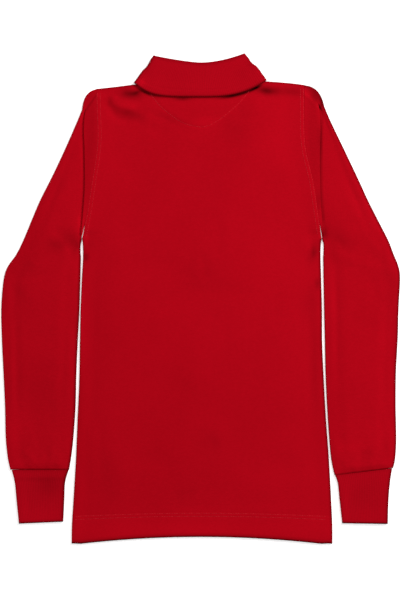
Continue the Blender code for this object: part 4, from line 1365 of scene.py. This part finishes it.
def edit_faces(piece, chosen):
    """Goes to edit mode with only those faces selected for which chosen(face) is true."""
    bpy.ops.object.mode_set(mode="EDIT")
    bpy.ops.mesh.select_mode(type="FACE")
    bpy.ops.mesh.select_all(action="DESELECT")
    bpy.ops.object.mode_set(mode="OBJECT")
    for face in piece.data.polygons:
        face.select = chosen(face)
    bpy.ops.object.mode_set(mode="EDIT")


# %% Model the buttons
BUTTON_SIDES, HOLE_SIDES = 48, 12
BUTTON_RADIUS = 0.0055
BUTTON_THICK = 0.0020
BUTTON_RIM = 0.0011
DISH_SLOPE = 0.0005
DISH_DEPTH = 0.0006
BUTTON_HOLE = 0.0006
BUTTON_ROUNDING = 0.00022
HOLE_OFF = 0.0011
HOLE_PLACES = [(x, y) for y in (-HOLE_OFF, HOLE_OFF) for x in (-HOLE_OFF, HOLE_OFF)]
FACES_OUT = 0.9
SMOOTH_BELOW = math.radians(40)
BUTTON_PLACES = {"button_upper": 0.1980, "button_lower": 0.1480}


def button(name, y):
    piece = add_cylinder(BUTTON_SIDES, BUTTON_RADIUS, BUTTON_THICK, (0.0, y, BUTTON_THICK / 2))
    piece.name = name
    edit_faces(piece, lambda face: face.normal.z < -FACES_OUT)
    bpy.ops.mesh.inset(thickness=BUTTON_RIM, depth=0.0)
    bpy.ops.mesh.inset(thickness=DISH_SLOPE, depth=-DISH_DEPTH)
    bpy.ops.object.mode_set(mode="OBJECT")
    for hole_x, hole_y in HOLE_PLACES:
        drill = add_cylinder(HOLE_SIDES, BUTTON_HOLE, 4 * BUTTON_THICK, (hole_x, y + hole_y, 0.0))
        hole = piece.modifiers.new("hole", "BOOLEAN")
        hole.object = drill
        finish_modifiers(piece)
        bpy.data.objects.remove(drill)
    rounded = piece.modifiers.new("rounded", "BEVEL")
    rounded.width = BUTTON_ROUNDING
    rounded.segments = 2
    finish_modifiers(piece)
    bpy.ops.object.shade_smooth_by_angle(angle=SMOOTH_BELOW)
    print(name, "faces:", len(piece.data.polygons))
    return piece


buttons = [button("moulded_" + name, y) for name, y in BUTTON_PLACES.items()]

# %% [markdown]
# ## Stitches
# Seams on knit are sewn with rows of short stitches. They could be drawn in the material, but then
# they'd be flat. So one stitch is modelled as a rod whose ends are drawn in, and copies of it are laid
# along each row, sunk a little into the cloth that they hold.

# %% Model one stitch
STITCH = 0.0026
STITCH_PITCH = 0.0032
THREAD = 0.00050
ROD_SIDES = 6
ROD_SHARE, TIP_SHARE, TIP_INSET = 0.6, 0.2, 0.3
STITCH_RISE = 0.12
RAY_START = 0.05


def one_stitch():
    """Corners and faces of a stitch that lies along X."""
    rod = add_cylinder(ROD_SIDES, THREAD / 2, STITCH * ROD_SHARE, (0.0, 0.0, 0.0))
    edit_faces(rod, lambda face: abs(face.normal.z) > FACES_OUT)
    bpy.ops.mesh.inset(thickness=THREAD * TIP_INSET, depth=STITCH * TIP_SHARE)
    bpy.ops.object.mode_set(mode="OBJECT")
    corners = np.array([corner.co[:] for corner in rod.data.vertices])[:, [2, 0, 1]]
    faces = [list(face.vertices) for face in rod.data.polygons]
    bpy.data.objects.remove(rod)
    return corners, faces


STITCH_CORNERS, STITCH_FACES = one_stitch()
stitch_size = np.round(np.ptp(STITCH_CORNERS, axis=0) * 1000, 2)
print("one stitch:", len(STITCH_FACES), "faces,", stitch_size, "mm")

# %% Lay stitches along rows


def row_places_along(path):
    """Evenly spaced places along a path, and the way that it goes there."""
    path = np.array(path, float)
    lengths = np.concatenate([[0], np.cumsum(np.linalg.norm(np.diff(path, axis=0), axis=1))])
    at = np.arange(STITCH_PITCH, lengths[-1] - STITCH_PITCH / 2, STITCH_PITCH)
    places, ahead = (
        np.stack([np.interp(at + step, lengths, path[:, k]) for k in (0, 1)], axis=1)
        for step in (0, STITCH / 4)
    )
    return zip(places, units(ahead - places))


def sew(name, paths, piece, side=1):
    """Rows of stitches on the upper face of a piece (side 1) or on its lower face (side -1)."""
    surface = BVHTree.FromObject(piece, bpy.context.evaluated_depsgraph_get())
    corners, faces = [], []
    for path in paths:
        for (x, y), (way_x, way_y) in row_places_along(path):
            ends = [
                surface.ray_cast((x + k * way_x, y + k * way_y, side * RAY_START), (0, 0, -side))[0]
                for k in (-STITCH / 4, STITCH / 4)
            ]
            if None in ends:
                continue
            start, end = (np.array(point) for point in ends)
            along = units(end - start)
            across = units(np.cross((0, 0, 1), along))
            ways = np.stack([along, across, np.cross(along, across)])
            centre = (start + end) / 2 + np.array((0, 0, side * THREAD * STITCH_RISE))
            faces += [[v + len(corners) * len(STITCH_CORNERS) for v in face] for face in STITCH_FACES]
            corners.append(STITCH_CORNERS @ ways + centre)
    mesh = bpy.data.meshes.new(name)
    mesh.from_pydata(np.concatenate(corners).tolist(), [], faces)
    mesh.update()
    mesh.shade_smooth()
    print(name, "stitches:", len(corners))
    return add_object(name, mesh)


# %% Sew the hems, the half-moon and the armholes
ARMHOLE_ROWS = (0.0012, 0.0052)
BELOW_SHOULDER, ABOVE_UNDERARM = 0.003, 0.002
HEM_REACH = 0.1655
MOON_ROW_ENDS = (-0.0660, 0.0640)


def hem_rows():
    x = np.linspace(-HEM_REACH, HEM_REACH, 120)
    return [np.stack([x, hem_band_line(x, below)], axis=1) for below in HEM_ROWS]


def armhole_row(arm, inset):
    y = np.linspace(shoulder_y(arm) - BELOW_SHOULDER, arm.armhole[-1].y + ABOVE_UNDERARM, 90)
    return np.stack([arm.sign * (armhole_x(arm, y) - seam_parting(0) - inset), y], axis=1)


moon_x = np.linspace(*MOON_ROW_ENDS, 90)
moon_row = np.stack([moon_x, half_moon(moon_x)], axis=1)
armhole_rows = [armhole_row(arm, inset) for arm in ARMS.values() for inset in ARMHOLE_ROWS]
back_stitches = [
    sew("stitches_hem_back", hem_rows(), back),
    sew("stitches_half_moon", [moon_row], back),
    sew("stitches_armholes_back", armhole_rows, back),
]
front_stitches = [
    sew("stitches_hem_front", hem_rows(), front, -1),
    sew("stitches_armholes_front", armhole_rows, front, -1),
]

# %% Sew the bands and the buttons
BAND_ROW = 0.0125
BELOW_NECK, ABOVE_BOTTOM = 0.003, 0.002
BOX_HEIGHT = 0.012
SLIT, SLIT_SIDE = 0.0170, 0.0008
band_top, band_low = float(front_neck(0.0)) - BELOW_NECK, BAND_BOTTOM + ABOVE_BOTTOM
band_rows = [[(x, band_top), (x, band_low)] for x in (-BAND_ROW, BAND_ROW)]
band_rows += [[(-BAND_ROW, y), (BAND_ROW, y)] for y in (band_low, band_low + BOX_HEIGHT)]
for y in BUTTON_PLACES.values():
    band_rows += [[(x, y - SLIT / 2), (x, y + SLIT / 2)] for x in (-SLIT_SIDE, SLIT_SIDE)]
band_stitches = sew("stitches_bands", band_rows, bands[0], -1)
HOLE_TO_HOLE = 0.00226
button_threads = []
for piece, y in zip(buttons, BUTTON_PLACES.values()):
    low, high = y - HOLE_TO_HOLE, y + HOLE_TO_HOLE
    cross = [[(-x, low), (x, high)] for x in (-HOLE_TO_HOLE, HOLE_TO_HOLE)]
    button_threads.append(sew("thread_" + piece.name, cross, piece, -1))

# %% [markdown]
# ## Materials
# The jersey is combed cotton, dyed through and brushed soft, so it is matt with a faint bloom where
# it turns away from the eye. Rib of the same yarn is painted a little darker, as painted shade for its
# furrows.

# %% Colours and nodes


def linear(hex_colour):
    """An sRGB hex colour as the linear one that Blender works in."""
    values = [int(hex_colour[k : k + 2], 16) / 255 for k in (1, 3, 5)]
    return tuple(v / 12.92 if v <= 0.04045 else ((v + 0.055) / 1.055) ** 2.4 for v in values) + (1.0,)


def add_node(tree, kind, inputs=None, **settings):
    """Adds one node, sets it up, and fills or links its sockets."""
    node = tree.nodes.new(kind)
    for name, value in settings.items():
        setattr(node, name, value)
    for name, value in (inputs or {}).items():
        if isinstance(value, bpy.types.NodeSocket):
            tree.links.new(value, node.inputs[name])
        else:
            node.inputs[name].default_value = value
    return node


def calc(tree, operation, *values):
    """The result of one step of arithmetic on sockets and numbers."""
    return add_node(tree, "ShaderNodeMath", dict(enumerate(values)), operation=operation).outputs[0]


def two_colours(tree, share, dark, light, low=0.0, high=1.0):
    """A ramp from a dark colour at low to a light one at high."""
    ramp = add_node(tree, "ShaderNodeValToRGB", {"Fac": share})
    for stop, place, colour in zip(ramp.color_ramp.elements, (low, high), (dark, light)):
        stop.position, stop.color = place, linear(colour)
    return ramp.outputs["Color"]


def object_place(tree):
    return add_node(tree, "ShaderNodeTexCoord").outputs["Object"]


def cloudy(tree, place, scale, detail=2.0):
    """Soft noise from 0 to 1; scale is how many clouds there are in a metre."""
    inputs = {"Vector": place, "Scale": scale, "Detail": detail}
    return add_node(tree, "ShaderNodeTexNoise", inputs).outputs["Fac"]


def add_bump(tree, shader, height, strength, distance):
    inputs = {"Height": height, "Strength": strength, "Distance": distance}
    tree.links.new(add_node(tree, "ShaderNodeBump", inputs).outputs["Normal"], shader.inputs["Normal"])


def new_material(name, **values):
    made = bpy.data.materials.new(name)
    made.use_nodes = True
    shader = made.node_tree.nodes["Principled BSDF"]
    for socket, value in values.items():
        shader.inputs[socket.replace("_", " ")].default_value = value
    return made, made.node_tree, shader


# %% Cotton jersey
# Real wales are about 0.8 mm apart; they are drawn 1.2 mm apart, because finer ones only flicker.
WALE = 0.0012
COURSE = 0.0010
LOOP_SLANT = 0.6
GRAIN_SHARE = 0.55
YARN_STOPS = (0.32, 0.68)
# FURROW_SHADE is painted shade in the furrows between wales and ribs.
FURROW_SHADE = 0.16
COTTON = {"Roughness": 0.92, "Specular IOR Level": 0.02, "Sheen Weight": 0.05, "Sheen Roughness": 0.5}


def dyed(tree, dark, light, ridge):
    """Yarn colour that drifts over the cloth, with grain, painted shade in the furrows, and the cloth's
    painted light and shade.
    """
    place = object_place(tree)
    drift = cloudy(tree, place, scale=11.0)
    across = add_node(tree, "ShaderNodeMapping", {"Vector": place, "Scale": (1.0, 2.6, 1.0)})
    grain = cloudy(tree, across.outputs[0], scale=260.0)
    both = add_node(tree, "ShaderNodeMix", {"Factor": GRAIN_SHARE, "A": drift, "B": grain})
    yarn = two_colours(tree, both.outputs["Result"], dark, light, *YARN_STOPS)
    # The attribute's painted light and shade, and painted shade in the furrows, scale the yarn's colour.
    painted_light = add_node(tree, "ShaderNodeAttribute", attribute_name="painted_light").outputs["Fac"]
    gain = calc(tree, "ADD", painted_light, calc(tree, "MULTIPLY_ADD", ridge, FURROW_SHADE, 1 - FURROW_SHADE / 2))
    shaded = add_node(tree, "ShaderNodeVectorMath", {0: yarn, "Scale": gain}, operation="SCALE")
    return shaded.outputs["Vector"]


def cotton(name):
    """A bare cotton material, and the places across and along the cloth."""
    made, tree, shader = new_material(name)
    for socket, value in COTTON.items():
        shader.inputs[socket].default_value = value
    shader.inputs["Sheen Tint"].default_value = linear("#C8101C")
    cloth_map = add_node(tree, "ShaderNodeUVMap", uv_map="cloth_map").outputs["UV"]
    place = add_node(tree, "ShaderNodeSeparateXYZ", {"Vector": cloth_map}).outputs
    return made, tree, shader, place["X"], place["Y"]


def ridges(tree, across, pitch):
    """Rises from 0 in each furrow to 1 on each ridge."""
    return calc(tree, "MULTIPLY", calc(tree, "PINGPONG", across, pitch / 2), 2 / pitch)


def jersey():
    made, tree, shader, across, along = cotton("combed_cotton_jersey")
    wale = ridges(tree, across, WALE)
    slant = calc(tree, "MULTIPLY_ADD", wale, LOOP_SLANT, calc(tree, "MULTIPLY", along, 1 / COURSE))
    height = calc(tree, "ADD", wale, calc(tree, "PINGPONG", slant, 0.5))
    tree.links.new(dyed(tree, "#A20312", "#AC0415", wale), shader.inputs["Base Color"])
    add_bump(tree, shader, height, strength=0.18, distance=0.0003)
    return made


# %% Flat rib
# Flat rib of collar and cuffs has a furrow every 2.2 mm along the strip.
RIB_PITCH = 0.0022


def rib():
    made, tree, shader, across, _ = cotton("cotton_flat_rib")
    furrows = ridges(tree, across, RIB_PITCH)
    # The rib's colours are a little darker than the jersey's, as painted shade for its furrows.
    tree.links.new(dyed(tree, "#9D0312", "#A70415", furrows), shader.inputs["Base Color"])
    add_bump(tree, shader, furrows, strength=0.16, distance=0.0005)
    return made


jersey_material = jersey()
rib_material = rib()

# %% Sewing thread
# Spun polyester thread, dyed to the cloth. It is twisted and smoother than knit, and its colours are
# painted lighter, for the sheen of the smoother thread.
# The twist turns by one radian in THREAD_TWIST; a wave of scale 1 turns by WAVE_UNIT radians a metre.
THREAD_TWIST = 0.0008
WAVE_UNIT = 20


def sewing_thread():
    made, tree, shader = new_material("spun_polyester_thread", Roughness=0.6)
    shader.inputs["Specular IOR Level"].default_value = 0.15
    wave = {"Vector": object_place(tree), "Scale": 1 / THREAD_TWIST / WAVE_UNIT}
    twist = add_node(tree, "ShaderNodeTexWave", wave, bands_direction="DIAGONAL").outputs["Fac"]
    tree.links.new(two_colours(tree, twist, "#B00A1C", "#C8202E"), shader.inputs["Base Color"])
    return made


# %% Moulded button
# Polyester resin with a faint cloud of lighter pigment, polished by tumbling.


def moulded_button():
    made, tree, shader = new_material("moulded_polyester_button", Roughness=0.3)
    place = object_place(tree)
    cloud = cloudy(tree, place, scale=220.0, detail=3.0)
    tree.links.new(two_colours(tree, cloud, "#980212", "#B80A1E"), shader.inputs["Base Color"])
    add_bump(tree, shader, cloudy(tree, place, scale=900.0), strength=0.06, distance=0.0002)
    return made


# %% Put the materials on
button_material = moulded_button()
thread_material = sewing_thread()
for piece in [*back_stitches, *front_stitches, band_stitches, *button_threads]:
    piece.data.materials.append(thread_material)
    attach(piece, "root")
NODES = {
    back: "back_panel",
    front: "front_panel",
    bands[0]: "placket_outer",
    bands[1]: "placket_under",
    sleeves["left"]: "sleeve_left",
    sleeves["right"]: "sleeve_right",
    cuffs["left"]: "cuff_left",
    cuffs["right"]: "cuff_right",
    collar_piece: "collar",
    buttons[0]: "button_upper",
    buttons[1]: "button_lower",
}
ribbed_pieces = (cuffs["left"], cuffs["right"], collar_piece)
for piece, node in NODES.items():
    if piece in ribbed_pieces:
        material, slot_name = rib_material, "rib"
    elif piece in buttons:
        material, slot_name = button_material, "button"
    else:
        material, slot_name = jersey_material, "knit"
    piece.data.materials.append(material)
    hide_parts(node)
    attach(piece, "root")

# %% [markdown]
# ## Floor, light and camera
# The floor is plain and nearly white, and glows faintly so that shadows on it stay pale. One large soft
# light stands high at the upper right, and a larger, weaker one and a pale sky fill from above, so that
# creases show without hard shadows. The camera looks straight down.

# %% Floor
FLOOR_SIZE = 6.0
FLOOR_GAP = 0.0002
bpy.ops.object.select_all(action="DESELECT")
bpy.ops.mesh.primitive_plane_add(size=FLOOR_SIZE, location=(0.0, 0.0, -FLOOR_GAP))
floor = bpy.context.object
floor.name = "floor"
floor_material, _, floor_shader = new_material("matt_white_card", Roughness=0.9)
floor_shader.inputs["Base Color"].default_value = linear("#FEFEFE")
floor_shader.inputs["Emission Color"].default_value = linear("#FFFFFF")
floor_shader.inputs["Emission Strength"].default_value = 0.40
floor.data.materials.append(floor_material)

# %% Lights


def soft_light(name, place, size, watts):
    """A square lamp that faces the shirt."""
    lamp = bpy.data.lights.new(name, "AREA")
    lamp.shape = "SQUARE"
    lamp.size = size
    lamp.energy = watts
    made = add_object(name, lamp)
    made.location = place
    made.rotation_euler = (-made.location).to_track_quat("-Z", "Y").to_euler()


soft_light("key_upper_right", (1.3, 1.2, 1.5), size=0.8, watts=48.5)
soft_light("fill_above", (-0.3, -0.2, 2.6), size=2.0, watts=24)
world = bpy.data.worlds.new("studio")
world.use_nodes = True
sky = world.node_tree.nodes["Background"].inputs
sky["Color"].default_value = linear("#FFFFFF")
sky["Strength"].default_value = 0.22
bpy.context.scene.world = world

# %% Camera
# At the height of the cloth 0.7813 m fill the height of the picture, through an 85 mm lens on a 36 mm
# sensor.
lens = bpy.data.cameras.new("view_from_above")
lens.lens = 85.0
lens.sensor_width = 36.0
camera = add_object("view_from_above", lens)
camera.location = (-0.0004, -0.0023, 1.849)
camera.rotation_euler = (0.0, 0.0, 0.0)
bpy.context.scene.camera = camera
bpy.context.scene.view_settings.view_transform = "Standard"
